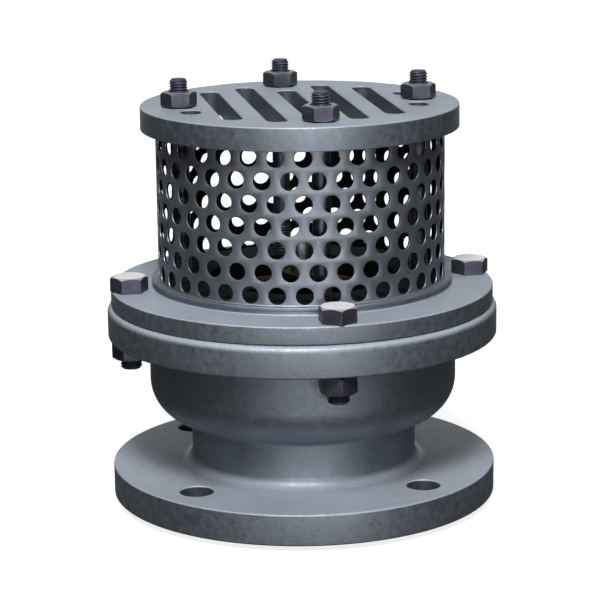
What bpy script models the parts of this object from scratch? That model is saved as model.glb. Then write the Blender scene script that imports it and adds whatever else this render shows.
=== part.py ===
"""Flanged lift foot valve with a perforated strainer, for a 100 mm suction pipe.

The valve stands on its pipe flange with the strainer on top, so water enters at the top,
passes the seat in the cover flange, pushes the spring-loaded disc down and leaves through
the pipe flange.  Z is the common axis of every turned piece, and Z = 0 is the sealing face
of the pipe flange.  Lengths are in metres and angles in degrees.
"""

import math

import bmesh
import bpy
from mathutils import Matrix, Vector

# Facets of the turned pieces
CASTING_STEPS = 32
POPPET_STEPS = 24
SPINDLE_STEPS = 12
HOLE_STEPS = 12
SHARP_ANGLE = 35.0

# Clearances
SEAM = 0.0003
BUSH_FIT = 0.0003
RIM_FIT = 0.0009
BOLT_FIT = 0.0008

# Pipe flange, nominal 100 mm
PIPE_BORE_R = 0.0500
PIPE_FLANGE_T = 0.0170
PIPE_FLANGE_EDGE = 0.0200
RAISED_FACE_W = 0.0220
RAISED_FACE_T = 0.0030
PIPE_BOLT_HOLE_R = 0.0090
PIPE_BOLT_HOLE_GAP = 0.0040
PIPE_BOLT_COUNT = 4
PIPE_BOLT_TURN = 38.6
FLANGE_CHAMFER = 0.0008

# Body casting
NECK_WALL = 0.0115
NECK_L = 0.0253
NECK_FILLET_R = 0.0065
NECK_TOP_FILLET_R = 0.0025
NECK_SHOULDER = 0.0002
BOWL_H = 0.0465
BOWL_WALL = 0.0087
BODY_FLANGE_T = 0.0172
BODY_FLANGE_ROUND = 0.0040
LEDGE_DEPTH = 0.0200
LEDGE_W = 0.0045

# Cover flange, which carries the seat, the upper guide and the strainer
COVER_STEP = 0.0021
COVER_T = 0.0095
COVER_ROUND = 0.0010
REGISTER_DEPTH = 0.0050
LIP_OVERHANG = 0.0013
PAD_T = 0.0026
RIM_H = 0.0019
HUB_WALL = 0.0027
COVER_ARM_W = 0.0080
COVER_ARM_H = 0.0070
ARM_COUNT = 3
ARM_TURN = 90.0
ARM_TAPER = 0.75
ARM_ROOT = 0.0022

# Joint between body and cover
GASKET_T = 0.0012
GASKET_GAP = 0.0030
COVER_BOLT_COUNT = 4
COVER_BOLT_TURN = 1.5
COVER_BOLT_R = 0.0060
COVER_BOLT_EDGE = 0.0115
COVER_BOLT_SPARE = 0.0054
COVER_HEX_AF = 0.0180
COVER_HEAD_H = 0.0080
COVER_HEAD_GAP = 0.0025
COVER_NUT_H = 0.0100
COVER_NUT_GAP = 0.0004

# Seat, disc and stem, with the valve shut
LIFT = 0.0220
SEAT_STEP = 0.0010
SEAT_RING_W = 0.0065
SEAT_RING_H = 0.0087
SEAT_LIP_W = 0.0035
SEAT_LIP_H = 0.0013
SEAL_INSET = 0.0027
SEAL_MARGIN = 0.0040
SEAL_T = 0.0040
DISC_T = 0.0079
DISC_RIM_W = 0.0012
DISC_RIM_H = 0.0026
DISC_BOSS_H = 0.0040
RETAINER_LAP = 0.0015
RETAINER_T = 0.0030
RETAINER_EDGE_T = 0.0010
STEM_R = 0.0060
STEM_TIP = 0.0020
STEM_INSET = 0.0037
STEM_GRIP = 0.0104
COLLAR_W = 0.0040
COLLAR_T = 0.0042
DISC_NUT_AF = 0.0180
DISC_NUT_H = 0.0084

# Lower guide and spring
SPIDER_RING_H = 0.0080
SPIDER_ARM_W = 0.0070
SPIDER_HUB_DROP = 0.0040
SPIDER_HUB_H = 0.0160
SPRING_SEAT_EDGE = 0.0020
SPRING_SEAT_T = 0.0030
PILOT_GAP = 0.0020
PILOT_H = 0.0030
BUSH_WALL = 0.0027
BUSH_COLLAR_W = 0.0015
BUSH_COLLAR_T = 0.0012
SPRING_R = 0.0192
SPRING_WIRE_R = 0.00175
SPRING_LIVE_TURNS = 4
SPRING_DEAD_TURNS = 1
SPRING_DEAD_PITCH = 0.0038
SPRING_POINTS_A_TURN = 8

# Strainer
ROD_GAP = 0.0062
BASKET_T = 0.0015
BASKET_H = 0.0848
BASKET_LIP_W = 0.0039
HOLE_R = 0.0046
HOLE_SIDES = 6
HOLE_EDGE = 0.0006
HOLE_PITCH = 0.01436
HOLE_ROW_PITCH = 0.0119
FIRST_HOLE_TURN = -103.66

# End plate and its tie rods
PLATE_EDGE = 0.0079
PLATE_T = 0.0125
PLATE_CHAMFER = 0.0008
GROOVE_DEPTH = 0.0023
SLOT_W = 0.0105
SLOT_PITCH = 0.0213
SLOT_BRIDGE = 0.0060
SLOT_INSET = 0.0092
SIDE_SLOT_INSET = 0.0060
SLOT_END_STEPS = 3
ROD_COUNT = 4
ROD_TURN = 0.0
ROD_FACET_TURN = 15.0
ROD_EDGE = 0.0100
ROD_R = 0.0050
ROD_DEPTH = 0.0155
ROD_LAND = 0.0027
ROD_NUT_AF = 0.0170
ROD_NUT_H = 0.0080
ROD_NUT_TURN = 90.0
ROD_SPARE = 0.0068
ROD_CHAMFER = 0.0012

# Half of a hexagon's sixth, in degrees
HEX_HALF_TURN = 30.0


def hex_corner_r(across_flats):
    """From a hexagon's centre to its corner."""
    return across_flats / 2 / math.cos(math.radians(HEX_HALF_TURN))


# Radii that follow, from the pipe's bore outwards
RAISED_FACE_R = PIPE_BORE_R + RAISED_FACE_W
PIPE_BOLT_CIRCLE_R = RAISED_FACE_R + PIPE_BOLT_HOLE_GAP + PIPE_BOLT_HOLE_R
PIPE_FLANGE_R = PIPE_BOLT_CIRCLE_R + PIPE_FLANGE_EDGE
NECK_R = PIPE_BORE_R + NECK_WALL
LEDGE_R = PIPE_BORE_R + LEDGE_W
SEAT_BORE_R = PIPE_BORE_R - SEAT_STEP
SEAT_RING_R = SEAT_BORE_R + SEAT_RING_W
SOCKET_R = SEAT_RING_R + SEAM
SEAL_INNER_R = SEAT_BORE_R - SEAL_INSET
SEAL_R = SEAT_BORE_R + SEAT_LIP_W + SEAL_MARGIN
DISC_R = SEAL_R + SEAM + DISC_RIM_W
RETAINER_R = SEAL_INNER_R + RETAINER_LAP
ROD_CIRCLE_R = PIPE_BORE_R + ROD_EDGE + ROD_R
BASKET_INNER_R = ROD_CIRCLE_R + ROD_R + ROD_GAP
BASKET_R = BASKET_INNER_R + BASKET_T
BASKET_LIP_R = BASKET_R + BASKET_LIP_W
PAD_R = BASKET_LIP_R - LIP_OVERHANG
COVER_BOLT_CIRCLE_R = BASKET_LIP_R + COVER_HEAD_GAP + hex_corner_r(COVER_HEX_AF)
BODY_FLANGE_R = COVER_BOLT_CIRCLE_R + COVER_BOLT_EDGE
COVER_R = BODY_FLANGE_R - COVER_STEP
BOWL_R = COVER_BOLT_CIRCLE_R - hex_corner_r(COVER_HEX_AF) - COVER_NUT_GAP
BOWL_CORNER_R = BOWL_R - NECK_R - NECK_SHOULDER
CHAMBER_R = BOWL_R - BOWL_WALL
REGISTER_R = CHAMBER_R - 2 * SEAM
GASKET_R = COVER_BOLT_CIRCLE_R - COVER_BOLT_R - BOLT_FIT - GASKET_GAP
PLATE_R = BASKET_R + PLATE_EDGE
SLOT_REACH_R = BASKET_INNER_R - SLOT_INSET
SIDE_SLOT_OFFSET = SLOT_REACH_R - SIDE_SLOT_INSET
ROD_LAND_R = hex_corner_r(ROD_NUT_AF) + ROD_LAND
BUSH_R = STEM_R + BUSH_FIT + BUSH_WALL
BUSH_COLLAR_R = BUSH_R + BUSH_COLLAR_W
HUB_R = BUSH_R + SEAM + HUB_WALL
COLLAR_R = STEM_R + COLLAR_W
SPRING_SEAT_R = SPRING_R + SPRING_WIRE_R + SPRING_SEAT_EDGE
PILOT_R = SPRING_R - SPRING_WIRE_R - PILOT_GAP

# Heights that follow, from the sealing face up
FLANGE_TOP_Z = RAISED_FACE_T + PIPE_FLANGE_T
BOWL_Z = FLANGE_TOP_Z + NECK_L
BOWL_FLOOR_Z = BOWL_Z + BOWL_WALL
LEDGE_Z = BOWL_FLOOR_Z - LEDGE_DEPTH
BODY_FLANGE_Z = BOWL_Z + BOWL_H
JOINT_Z = BODY_FLANGE_Z + BODY_FLANGE_T
COVER_Z = JOINT_Z + SEAM
COVER_TOP_Z = COVER_Z + COVER_T
PAD_Z = COVER_TOP_Z + PAD_T
RIM_Z = PAD_Z + RIM_H
REGISTER_Z = COVER_Z - REGISTER_DEPTH
SEAT_Z = REGISTER_Z - SEAT_LIP_H
SEAT_TOP_Z = SEAT_Z + SEAT_RING_H
SOCKET_Z = SEAT_TOP_Z + SEAM
SEAL_Z = SEAT_Z - SEAM - SEAL_T
DISC_Z = SEAL_Z - SEAM - DISC_T
BOSS_Z = DISC_Z - DISC_BOSS_H
LAND_Z = SEAL_Z + SEAL_T
RETAINER_Z = LAND_Z + SEAM
COLLAR_Z = RETAINER_Z + RETAINER_T + SEAM
COLLAR_TOP_Z = COLLAR_Z + COLLAR_T
COVER_HUB_Z = COLLAR_TOP_Z + 2 * SEAM
SPIDER_Z = LEDGE_Z + SEAM
SPIDER_HUB_Z = SPIDER_Z - SPIDER_HUB_DROP
SPRING_Z = SPIDER_HUB_Z + SPIDER_HUB_H
PILOT_Z = SPRING_Z + PILOT_H
BASKET_Z = PAD_Z + SEAM
BASKET_TOP_Z = BASKET_Z + BASKET_H
PLATE_Z = BASKET_TOP_Z + SEAM - GROOVE_DEPTH
PLATE_TOP_Z = PLATE_Z + PLATE_T

# Patterns that fill the room they have
HOLES_A_ROW = round(math.tau * BASKET_R / HOLE_PITCH)
FIRST_ROW_Z = BASKET_Z + BASKET_T + HOLE_EDGE + HOLE_R
HOLE_ROWS = 1 + int((PLATE_Z - HOLE_R - FIRST_ROW_Z) / HOLE_ROW_PITCH)
SLOTS_A_SIDE = int((SIDE_SLOT_OFFSET - SLOT_W - SLOT_BRIDGE) / SLOT_PITCH)


def clear_scene():
    """Remove every object that the file opens with."""
    for obj in list(bpy.data.objects):
        bpy.data.objects.remove(obj, do_unlink=True)


def collection(name):
    """A new collection in the scene."""
    group = bpy.data.collections.new(name)
    bpy.context.scene.collection.children.link(group)
    return group


def finish_of(name, colour, roughness, metallic):
    """A Principled material with one finish."""
    mat = bpy.data.materials.new(name)
    mat.use_nodes = True
    shader = mat.node_tree.nodes["Principled BSDF"]
    shader.inputs["Base Color"].default_value = (*colour, 1.0)
    shader.inputs["Roughness"].default_value = roughness
    shader.inputs["Metallic"].default_value = metallic
    mat.diffuse_color = (*colour, 1.0)
    return mat


clear_scene()
PARTS = collection("foot_valve")
CUTTERS = collection("cutters")
GREY_PAINT = finish_of("grey_paint", (0.20, 0.23, 0.26), 0.45, 0.10)
DARK_STEEL = finish_of("dark_steel", (0.05, 0.055, 0.08), 0.35, 0.80)
BRIGHT_STEEL = finish_of("bright_steel", (0.55, 0.56, 0.58), 0.30, 1.00)
BRONZE = finish_of("bronze", (0.55, 0.36, 0.15), 0.35, 1.00)
RUBBER = finish_of("rubber", (0.03, 0.03, 0.03), 0.80, 0.00)
GASKET_FIBRE = finish_of("gasket_fibre", (0.14, 0.13, 0.12), 0.90, 0.00)


def add_piece(name, mesh, mat):
    """A part object that holds the mesh, with one finish."""
    obj = bpy.data.objects.new(name, mesh)
    PARTS.objects.link(obj)
    mesh.materials.clear()
    mesh.materials.append(mat)
    return obj


def add_cutter(name, mesh):
    """A helper object that only cuts or joins."""
    obj = bpy.data.objects.new(name, mesh)
    CUTTERS.objects.link(obj)
    obj.hide_render = True
    obj.display_type = "WIRE"
    return obj


def profile_mesh(name, profile, closed):
    """The edges of a turned piece's half section, in the XZ plane."""
    bm = bmesh.new()
    verts = [bm.verts.new((r, 0.0, z)) for r, z in profile]
    for first, second in zip(verts, verts[1:]):
        bm.edges.new((first, second))
    if closed:
        bm.edges.new((verts[-1], verts[0]))
    mesh = bpy.data.meshes.new(name)
    bm.to_mesh(mesh)
    bm.free()
    return mesh


def screw(obj, steps):
    """Turn the object's half section once round Z."""
    turn = obj.modifiers.new("turn", "SCREW")
    turn.axis = "Z"
    turn.angle = math.tau
    turn.steps = steps
    turn.render_steps = steps
    turn.use_merge_vertices = True
    turn.merge_threshold = 0.00001
    turn.use_smooth_shade = True


def turned(name, profile, mat, steps=CASTING_STEPS, closed=True):
    """A turned part.  A closed profile is a ring, an open one starts and ends on the axis."""
    obj = add_piece(name, profile_mesh(name, profile, closed), mat)
    screw(obj, steps)
    return obj


def turned_cutter(name, profile, steps=CASTING_STEPS, closed=True):
    """A turned helper shape."""
    obj = add_cutter(name, profile_mesh(name, profile, closed))
    screw(obj, steps)
    return obj


def combine(obj, other, operation):
    """Boolean of two objects, left on the first as a modifier."""
    boolean = obj.modifiers.new(other.name, "BOOLEAN")
    boolean.operation = operation
    boolean.object = other
    boolean.solver = "EXACT"


def arc(centre_r, centre_z, radius, start, end, steps):
    """Points of a profile along an arc, with angles from the +R direction."""
    points = []
    for index in range(steps + 1):
        angle = math.radians(start + (end - start) * index / steps)
        points.append((centre_r + radius * math.cos(angle), centre_z + radius * math.sin(angle)))
    return points


def polar(radius, angle, z=0.0):
    """A point at a radius and plan angle."""
    turn = math.radians(angle)
    return Vector((radius * math.cos(turn), radius * math.sin(turn), z))


def around(count, first):
    """Evenly spaced plan angles."""
    return [first + 360.0 * index / count for index in range(count)]


def holes_mesh(name, places, radius, low_z, high_z, steps, facet_turn):
    """One cutter mesh with an upright cylinder at each place."""
    bm = bmesh.new()
    spin = Matrix.Rotation(math.radians(facet_turn), 4, "Z")
    for place in places:
        centre = Matrix.Translation((place.x, place.y, (low_z + high_z) / 2))
        bmesh.ops.create_cone(bm, cap_ends=True, segments=steps, radius1=radius,
                              radius2=radius, depth=high_z - low_z, matrix=centre @ spin)
    mesh = bpy.data.meshes.new(name)
    bm.to_mesh(mesh)
    bm.free()
    return mesh


def drill(obj, name, places, radius, low_z, high_z, steps=HOLE_STEPS, facet_turn=0.0):
    """Cut upright holes in the object."""
    mesh = holes_mesh(name, places, radius, low_z, high_z, steps, facet_turn)
    cutter = add_cutter(name, mesh)
    combine(obj, cutter, "DIFFERENCE")


def outline_cutter(name, outlines, low_z, high_z):
    """A helper shape with flat closed outlines, extruded from one height to another."""
    curve = bpy.data.curves.new(name, "CURVE")
    curve.dimensions = "2D"
    curve.fill_mode = "BOTH"
    curve.extrude = (high_z - low_z) / 2
    for outline in outlines:
        spline = curve.splines.new("POLY")
        spline.points.add(len(outline) - 1)
        for point, (x, y) in zip(spline.points, outline):
            point.co = (x, y, 0.0, 1.0)
        spline.use_cyclic_u = True
    flat = bpy.data.objects.new(name + "_outline", curve)
    flat.location.z = (low_z + high_z) / 2
    CUTTERS.objects.link(flat)
    return curve_to_cutter(name, flat)


def curve_to_cutter(name, flat):
    """Replace a curve object by a welded mesh object."""
    bpy.context.view_layer.update()
    depsgraph = bpy.context.evaluated_depsgraph_get()
    mesh = bpy.data.meshes.new_from_object(flat.evaluated_get(depsgraph))
    bm = bmesh.new()
    bm.from_mesh(mesh)
    bmesh.ops.remove_doubles(bm, verts=bm.verts, dist=0.000001)
    bmesh.ops.recalc_face_normals(bm, faces=bm.faces)
    bm.to_mesh(mesh)
    bm.free()
    obj = add_cutter(name, mesh)
    obj.matrix_world = flat.matrix_world.copy()
    bpy.data.objects.remove(flat, do_unlink=True)
    return obj


def add_arms(obj, name, inner_r, outer_r, width, low_z, height):
    """Join tapered guide arms to the object, widest at the ring."""
    bm = bmesh.new()
    for angle in around(ARM_COUNT, ARM_TURN):
        size = Matrix.Diagonal((outer_r - inner_r, width, height, 1.0))
        middle = Matrix.Translation(((inner_r + outer_r) / 2, 0.0, low_z + height / 2))
        spin = Matrix.Rotation(math.radians(angle), 4, "Z")
        arm = bmesh.ops.create_cube(bm, size=1.0, matrix=middle @ size)["verts"]
        for vert in arm:
            if vert.co.x < (inner_r + outer_r) / 2:
                vert.co.y *= ARM_TAPER
        bmesh.ops.transform(bm, matrix=spin, verts=arm)
    mesh = bpy.data.meshes.new(name)
    bm.to_mesh(mesh)
    bm.free()
    combine(obj, add_cutter(name, mesh), "UNION")


def hex_mesh(name, across_flats, height, bore_r=0.0, facet_turn=0.0):
    """A hexagon standing on Z = 0 with a flat towards +X, bored through if it is a nut."""
    bm = bmesh.new()
    corner_r = hex_corner_r(across_flats)
    lift = Matrix.Translation((0.0, 0.0, height / 2))
    bmesh.ops.create_cone(bm, cap_ends=True, segments=6, radius1=corner_r, radius2=corner_r,
                          depth=height, matrix=lift)
    mesh = bpy.data.meshes.new(name)
    bm.to_mesh(mesh)
    bm.free()
    if not bore_r:
        return mesh
    blank = add_cutter(name + "_blank", mesh)
    drill(blank, name + "_bore", [Vector((0.0, 0.0, 0.0))], bore_r, -height, 2 * height,
          SPINDLE_STEPS, facet_turn)
    return settled_mesh(blank)


def settled_mesh(obj):
    """The object's evaluated mesh, with the object itself removed."""
    bpy.context.view_layer.update()
    depsgraph = bpy.context.evaluated_depsgraph_get()
    mesh = bpy.data.meshes.new_from_object(obj.evaluated_get(depsgraph))
    bpy.data.objects.remove(obj, do_unlink=True)
    return mesh


def smooth_round_pieces():
    """Shade turned faces smooth and keep the machined edges sharp."""
    for obj in PARTS.objects:
        if obj.type == "MESH":
            obj.data.shade_smooth()
            obj.data.set_sharp_from_angle(angle=math.radians(SHARP_ANGLE))


def make_body():
    """Cast body: pipe flange, neck, bowl and upper flange in one hollow casting."""
    bowl_centre_r = BOWL_R - BOWL_CORNER_R
    bowl_centre_z = BOWL_Z + BOWL_CORNER_R
    inner_corner_r = BOWL_CORNER_R - BOWL_WALL
    fillet_centre_r = NECK_R + NECK_TOP_FILLET_R
    centres_apart = BOWL_CORNER_R + NECK_TOP_FILLET_R
    fillet_lean = math.degrees(math.asin((fillet_centre_r - bowl_centre_r) / centres_apart))
    fillet_centre_z = bowl_centre_z - centres_apart * math.cos(math.radians(fillet_lean))
    recess_z = JOINT_Z - GASKET_T - SEAM
    recess_r = GASKET_R + SEAM
    profile = [(CHAMBER_R, recess_z), (recess_r, recess_z), (recess_r, JOINT_Z)]
    profile += arc(BODY_FLANGE_R - BODY_FLANGE_ROUND, JOINT_Z - BODY_FLANGE_ROUND,
                   BODY_FLANGE_ROUND, 90.0, 0.0, 2)
    profile += [(BODY_FLANGE_R, BODY_FLANGE_Z + FLANGE_CHAMFER),
                (BODY_FLANGE_R - FLANGE_CHAMFER, BODY_FLANGE_Z),
                (BOWL_R, BODY_FLANGE_Z)]
    profile += arc(bowl_centre_r, bowl_centre_z, BOWL_CORNER_R, 0.0, fillet_lean - 90.0, 5)
    profile += arc(fillet_centre_r, fillet_centre_z, NECK_TOP_FILLET_R, 90.0 + fillet_lean,
                   180.0, 2)[1:]
    profile += arc(NECK_R + NECK_FILLET_R, FLANGE_TOP_Z + NECK_FILLET_R, NECK_FILLET_R,
                   180.0, 270.0, 3)
    profile += [(PIPE_FLANGE_R - FLANGE_CHAMFER, FLANGE_TOP_Z),
                (PIPE_FLANGE_R, FLANGE_TOP_Z - FLANGE_CHAMFER),
                (PIPE_FLANGE_R, RAISED_FACE_T),
                (RAISED_FACE_R, RAISED_FACE_T), (RAISED_FACE_R, 0.0), (PIPE_BORE_R, 0.0),
                (PIPE_BORE_R, LEDGE_Z), (LEDGE_R, LEDGE_Z), (LEDGE_R, BOWL_FLOOR_Z)]
    profile += arc(bowl_centre_r, bowl_centre_z, inner_corner_r, -90.0, 0.0, 3)
    body = turned("valve_body", profile, GREY_PAINT)
    pipe_bolts = [polar(PIPE_BOLT_CIRCLE_R, a) for a in around(PIPE_BOLT_COUNT, PIPE_BOLT_TURN)]
    drill(body, "pipe_bolt_holes", pipe_bolts, PIPE_BOLT_HOLE_R, 0.0, FLANGE_TOP_Z + NECK_L / 2)
    drill(body, "body_bolt_holes", cover_bolt_places(), COVER_BOLT_R + BOLT_FIT,
          BODY_FLANGE_Z - BODY_FLANGE_T, JOINT_Z + BODY_FLANGE_T)


def cover_bolt_places():
    """Plan places of the bolts that hold the cover to the body."""
    return [polar(COVER_BOLT_CIRCLE_R, a) for a in around(COVER_BOLT_COUNT, COVER_BOLT_TURN)]


def rod_places():
    """Plan places of the strainer's tie rods."""
    return [polar(ROD_CIRCLE_R, a) for a in around(ROD_COUNT, ROD_TURN)]


def make_cover():
    """Cover flange with the seat's socket below, the strainer's pad above and a guide hub."""
    profile = [(PIPE_BORE_R, RIM_Z), (BASKET_INNER_R - RIM_FIT, RIM_Z),
               (BASKET_INNER_R - RIM_FIT, PAD_Z), (PAD_R, PAD_Z), (PAD_R, COVER_TOP_Z)]
    profile += arc(COVER_R - COVER_ROUND, COVER_TOP_Z - COVER_ROUND, COVER_ROUND, 90.0, 0.0, 2)
    profile += [(COVER_R, COVER_Z), (REGISTER_R, COVER_Z), (REGISTER_R, REGISTER_Z),
                (SOCKET_R, REGISTER_Z), (SOCKET_R, SOCKET_Z), (PIPE_BORE_R, SOCKET_Z)]
    cover = turned("cover_flange", profile, GREY_PAINT)
    hub_profile = [(0.0, RIM_Z), (HUB_R, RIM_Z), (HUB_R, COVER_HUB_Z), (0.0, COVER_HUB_Z)]
    hub = turned_cutter("cover_hub", hub_profile, POPPET_STEPS, closed=False)
    combine(cover, hub, "UNION")
    arm_z = (SEAT_TOP_Z + RIM_Z - COVER_ARM_H) / 2
    add_arms(cover, "cover_arms", BUSH_R, PIPE_BORE_R + ARM_ROOT, COVER_ARM_W, arm_z, COVER_ARM_H)
    axis = [Vector((0.0, 0.0, 0.0))]
    drill(cover, "upper_bush_bore", axis, BUSH_R + SEAM, JOINT_Z - COVER_T, RIM_Z + COVER_T,
          SPINDLE_STEPS)
    drill(cover, "cover_bolt_holes", cover_bolt_places(), COVER_BOLT_R + BOLT_FIT,
          COVER_Z - COVER_T, COVER_TOP_Z + COVER_T)
    drill(cover, "rod_holes", rod_places(), ROD_R + SEAM, RIM_Z - ROD_DEPTH - SEAM,
          RIM_Z + ROD_DEPTH, SPINDLE_STEPS, ROD_FACET_TURN)


def make_gasket():
    """Flat fibre gasket in the body's recess, clear of the cover's register."""
    low_z = JOINT_Z - GASKET_T
    turned("joint_gasket", [(CHAMBER_R + SEAM, JOINT_Z), (GASKET_R, JOINT_Z),
                            (GASKET_R, low_z), (CHAMBER_R + SEAM, low_z)], GASKET_FIBRE)


def make_seat_ring():
    """Bronze seat ring in the cover's socket, with a narrow lip facing down."""
    lip_r = SEAT_BORE_R + SEAT_LIP_W
    profile = [(SEAT_BORE_R, SEAT_TOP_Z), (SEAT_RING_R, SEAT_TOP_Z),
               (SEAT_RING_R, SEAT_Z + SEAT_LIP_H), (lip_r, SEAT_Z), (SEAT_BORE_R, SEAT_Z)]
    turned("seat_ring", profile, BRONZE)


def make_disc():
    """Cast disc with a rim round the rubber seal, a central land and a spring boss."""
    bore_r = STEM_R + SEAM
    rim_z = SEAL_Z + DISC_RIM_H
    profile = [(bore_r, LAND_Z), (SEAL_INNER_R - SEAM, LAND_Z),
               (SEAL_INNER_R - SEAM, SEAL_Z - SEAM), (SEAL_R + SEAM, SEAL_Z - SEAM),
               (SEAL_R + SEAM, rim_z), (DISC_R, rim_z), (DISC_R, DISC_Z + DISC_T / 2),
               (SPRING_SEAT_R, DISC_Z), (PILOT_R, DISC_Z), (PILOT_R, BOSS_Z),
               (bore_r, BOSS_Z)]
    turned("valve_disc", profile, GREY_PAINT, POPPET_STEPS)


def make_seal():
    """Rubber ring that the disc carries against the seat's lip."""
    top_z = SEAL_Z + SEAL_T
    turned("disc_seal", [(SEAL_INNER_R, top_z), (SEAL_R, top_z), (SEAL_R, SEAL_Z),
                         (SEAL_INNER_R, SEAL_Z)], RUBBER, POPPET_STEPS)


def make_retainer():
    """Dished steel plate that clamps the seal's inner edge to the disc."""
    bore_r = STEM_R + SEAM
    top_z = RETAINER_Z + RETAINER_T
    profile = [(bore_r, top_z), (SPRING_SEAT_R, top_z), (RETAINER_R, RETAINER_Z + RETAINER_EDGE_T),
               (RETAINER_R, RETAINER_Z), (bore_r, RETAINER_Z)]
    turned("seal_retainer", profile, BRIGHT_STEEL, POPPET_STEPS)


def make_stem():
    """Stem with a collar on the retainer, guided in a bush at each end."""
    low_z = SPIDER_HUB_Z + STEM_INSET
    high_z = COVER_HUB_Z + LIFT + STEM_GRIP
    tip_r = STEM_R - STEM_TIP
    profile = [(0.0, high_z), (tip_r, high_z), (STEM_R, high_z - STEM_TIP),
               (STEM_R, COLLAR_TOP_Z), (COLLAR_R, COLLAR_TOP_Z), (COLLAR_R, COLLAR_Z),
               (STEM_R, COLLAR_Z), (STEM_R, low_z + STEM_TIP), (tip_r, low_z), (0.0, low_z)]
    turned("valve_stem", profile, BRIGHT_STEEL, SPINDLE_STEPS, closed=False)


def make_disc_nut():
    """Nut under the disc's boss, inside the spring."""
    mesh = hex_mesh("disc_nut", DISC_NUT_AF, DISC_NUT_H, STEM_R + SEAM)
    nut = add_piece("disc_nut", mesh, DARK_STEEL)
    nut.location.z = BOSS_Z - SEAM - DISC_NUT_H


def make_bush(name, low_z, high_z):
    """Flanged guide bush, with its flange on top of the hub that holds it."""
    bore_r = STEM_R + BUSH_FIT
    shoulder_z = high_z + SEAM
    profile = [(bore_r, shoulder_z + BUSH_COLLAR_T), (BUSH_COLLAR_R, shoulder_z + BUSH_COLLAR_T),
               (BUSH_COLLAR_R, shoulder_z), (BUSH_R, shoulder_z), (BUSH_R, low_z),
               (bore_r, low_z)]
    turned(name, profile, BRONZE, SPINDLE_STEPS)


def make_guide_spider():
    """Lower guide: a ring on the neck's ledge, three arms and a cone-shaped hub."""
    ring_top = SPIDER_Z + SPIDER_RING_H
    ring_r = LEDGE_R - SEAM
    profile = [(PIPE_BORE_R, ring_top), (ring_r, ring_top), (ring_r, SPIDER_Z),
               (PIPE_BORE_R, SPIDER_Z)]
    spider = turned("guide_spider", profile, GREY_PAINT)
    hub_profile = [(0.0, PILOT_Z), (PILOT_R, PILOT_Z), (PILOT_R, SPRING_Z),
                   (SPRING_SEAT_R, SPRING_Z), (SPRING_SEAT_R, SPRING_Z - SPRING_SEAT_T),
                   (HUB_R, SPIDER_HUB_Z), (0.0, SPIDER_HUB_Z)]
    hub = turned_cutter("spider_hub", hub_profile, POPPET_STEPS, closed=False)
    combine(spider, hub, "UNION")
    add_arms(spider, "spider_arms", BUSH_R, PIPE_BORE_R + ARM_ROOT, SPIDER_ARM_W, SPIDER_Z + SEAM,
             SPIDER_RING_H - 2 * SEAM)
    axis = [Vector((0.0, 0.0, 0.0))]
    drill(spider, "lower_bush_bore", axis, BUSH_R + SEAM, SPIDER_HUB_Z - SPIDER_HUB_H,
          PILOT_Z + SPIDER_HUB_H, SPINDLE_STEPS)


def make_spring():
    """Compression spring between the guide's hub and the disc, with closed end turns."""
    low_z = SPRING_Z + SEAM + SPRING_WIRE_R
    high_z = DISC_Z - SEAM - SPRING_WIRE_R
    dead_rise = SPRING_DEAD_TURNS * SPRING_DEAD_PITCH
    turns = 2 * SPRING_DEAD_TURNS + SPRING_LIVE_TURNS
    live_pitch = (high_z - low_z - 2 * dead_rise) / SPRING_LIVE_TURNS
    count = turns * SPRING_POINTS_A_TURN + 1
    curve = bpy.data.curves.new("return_spring", "CURVE")
    curve.dimensions = "3D"
    curve.bevel_depth = SPRING_WIRE_R
    curve.bevel_resolution = 2
    curve.use_fill_caps = True
    spline = curve.splines.new("POLY")
    spline.points.add(count - 1)
    for index, point in enumerate(spline.points):
        turn = index / SPRING_POINTS_A_TURN
        dead_below = min(turn, SPRING_DEAD_TURNS)
        live = min(max(turn - SPRING_DEAD_TURNS, 0.0), SPRING_LIVE_TURNS)
        dead_above = max(turn - SPRING_DEAD_TURNS - SPRING_LIVE_TURNS, 0.0)
        z = low_z + (dead_below + dead_above) * SPRING_DEAD_PITCH + live * live_pitch
        point.co = (*polar(SPRING_R, 360.0 * turn, z), 1.0)
    curve.materials.append(BRIGHT_STEEL)
    spring = bpy.data.objects.new("return_spring", curve)
    PARTS.objects.link(spring)


def make_basket():
    """Perforated strainer basket with staggered rows of round holes and an out-turned foot."""
    lip_z = BASKET_Z + BASKET_T
    profile = [(BASKET_INNER_R, BASKET_TOP_Z), (BASKET_R, BASKET_TOP_Z), (BASKET_R, lip_z),
               (BASKET_LIP_R, lip_z), (BASKET_LIP_R, BASKET_Z), (BASKET_INNER_R, BASKET_Z)]
    basket = turned("strainer_basket", profile, GREY_PAINT, HOLES_A_ROW)
    basket.rotation_euler.z = math.radians(FIRST_HOLE_TURN)
    bm = bmesh.new()
    half_pitch = 180.0 / HOLES_A_ROW
    corner_up = Matrix.Rotation(math.radians(90.0), 4, "Z")
    outward = Matrix.Rotation(math.radians(90.0), 4, "Y")
    for row in range(HOLE_ROWS):
        z = FIRST_ROW_Z + row * HOLE_ROW_PITCH
        for angle in around(HOLES_A_ROW, (1 - row % 2) * half_pitch):
            place = Matrix.Rotation(math.radians(angle), 4, "Z")
            reach = Matrix.Translation((BASKET_R - BASKET_T / 2, 0.0, z))
            bmesh.ops.create_cone(bm, cap_ends=True, segments=HOLE_SIDES, radius1=HOLE_R,
                                  radius2=HOLE_R, depth=4 * BASKET_T,
                                  matrix=place @ reach @ outward @ corner_up)
    mesh = bpy.data.meshes.new("strainer_holes")
    bm.to_mesh(mesh)
    bm.free()
    holes = add_cutter("strainer_holes", mesh)
    holes.rotation_euler.z = basket.rotation_euler.z
    combine(basket, holes, "DIFFERENCE")


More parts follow.
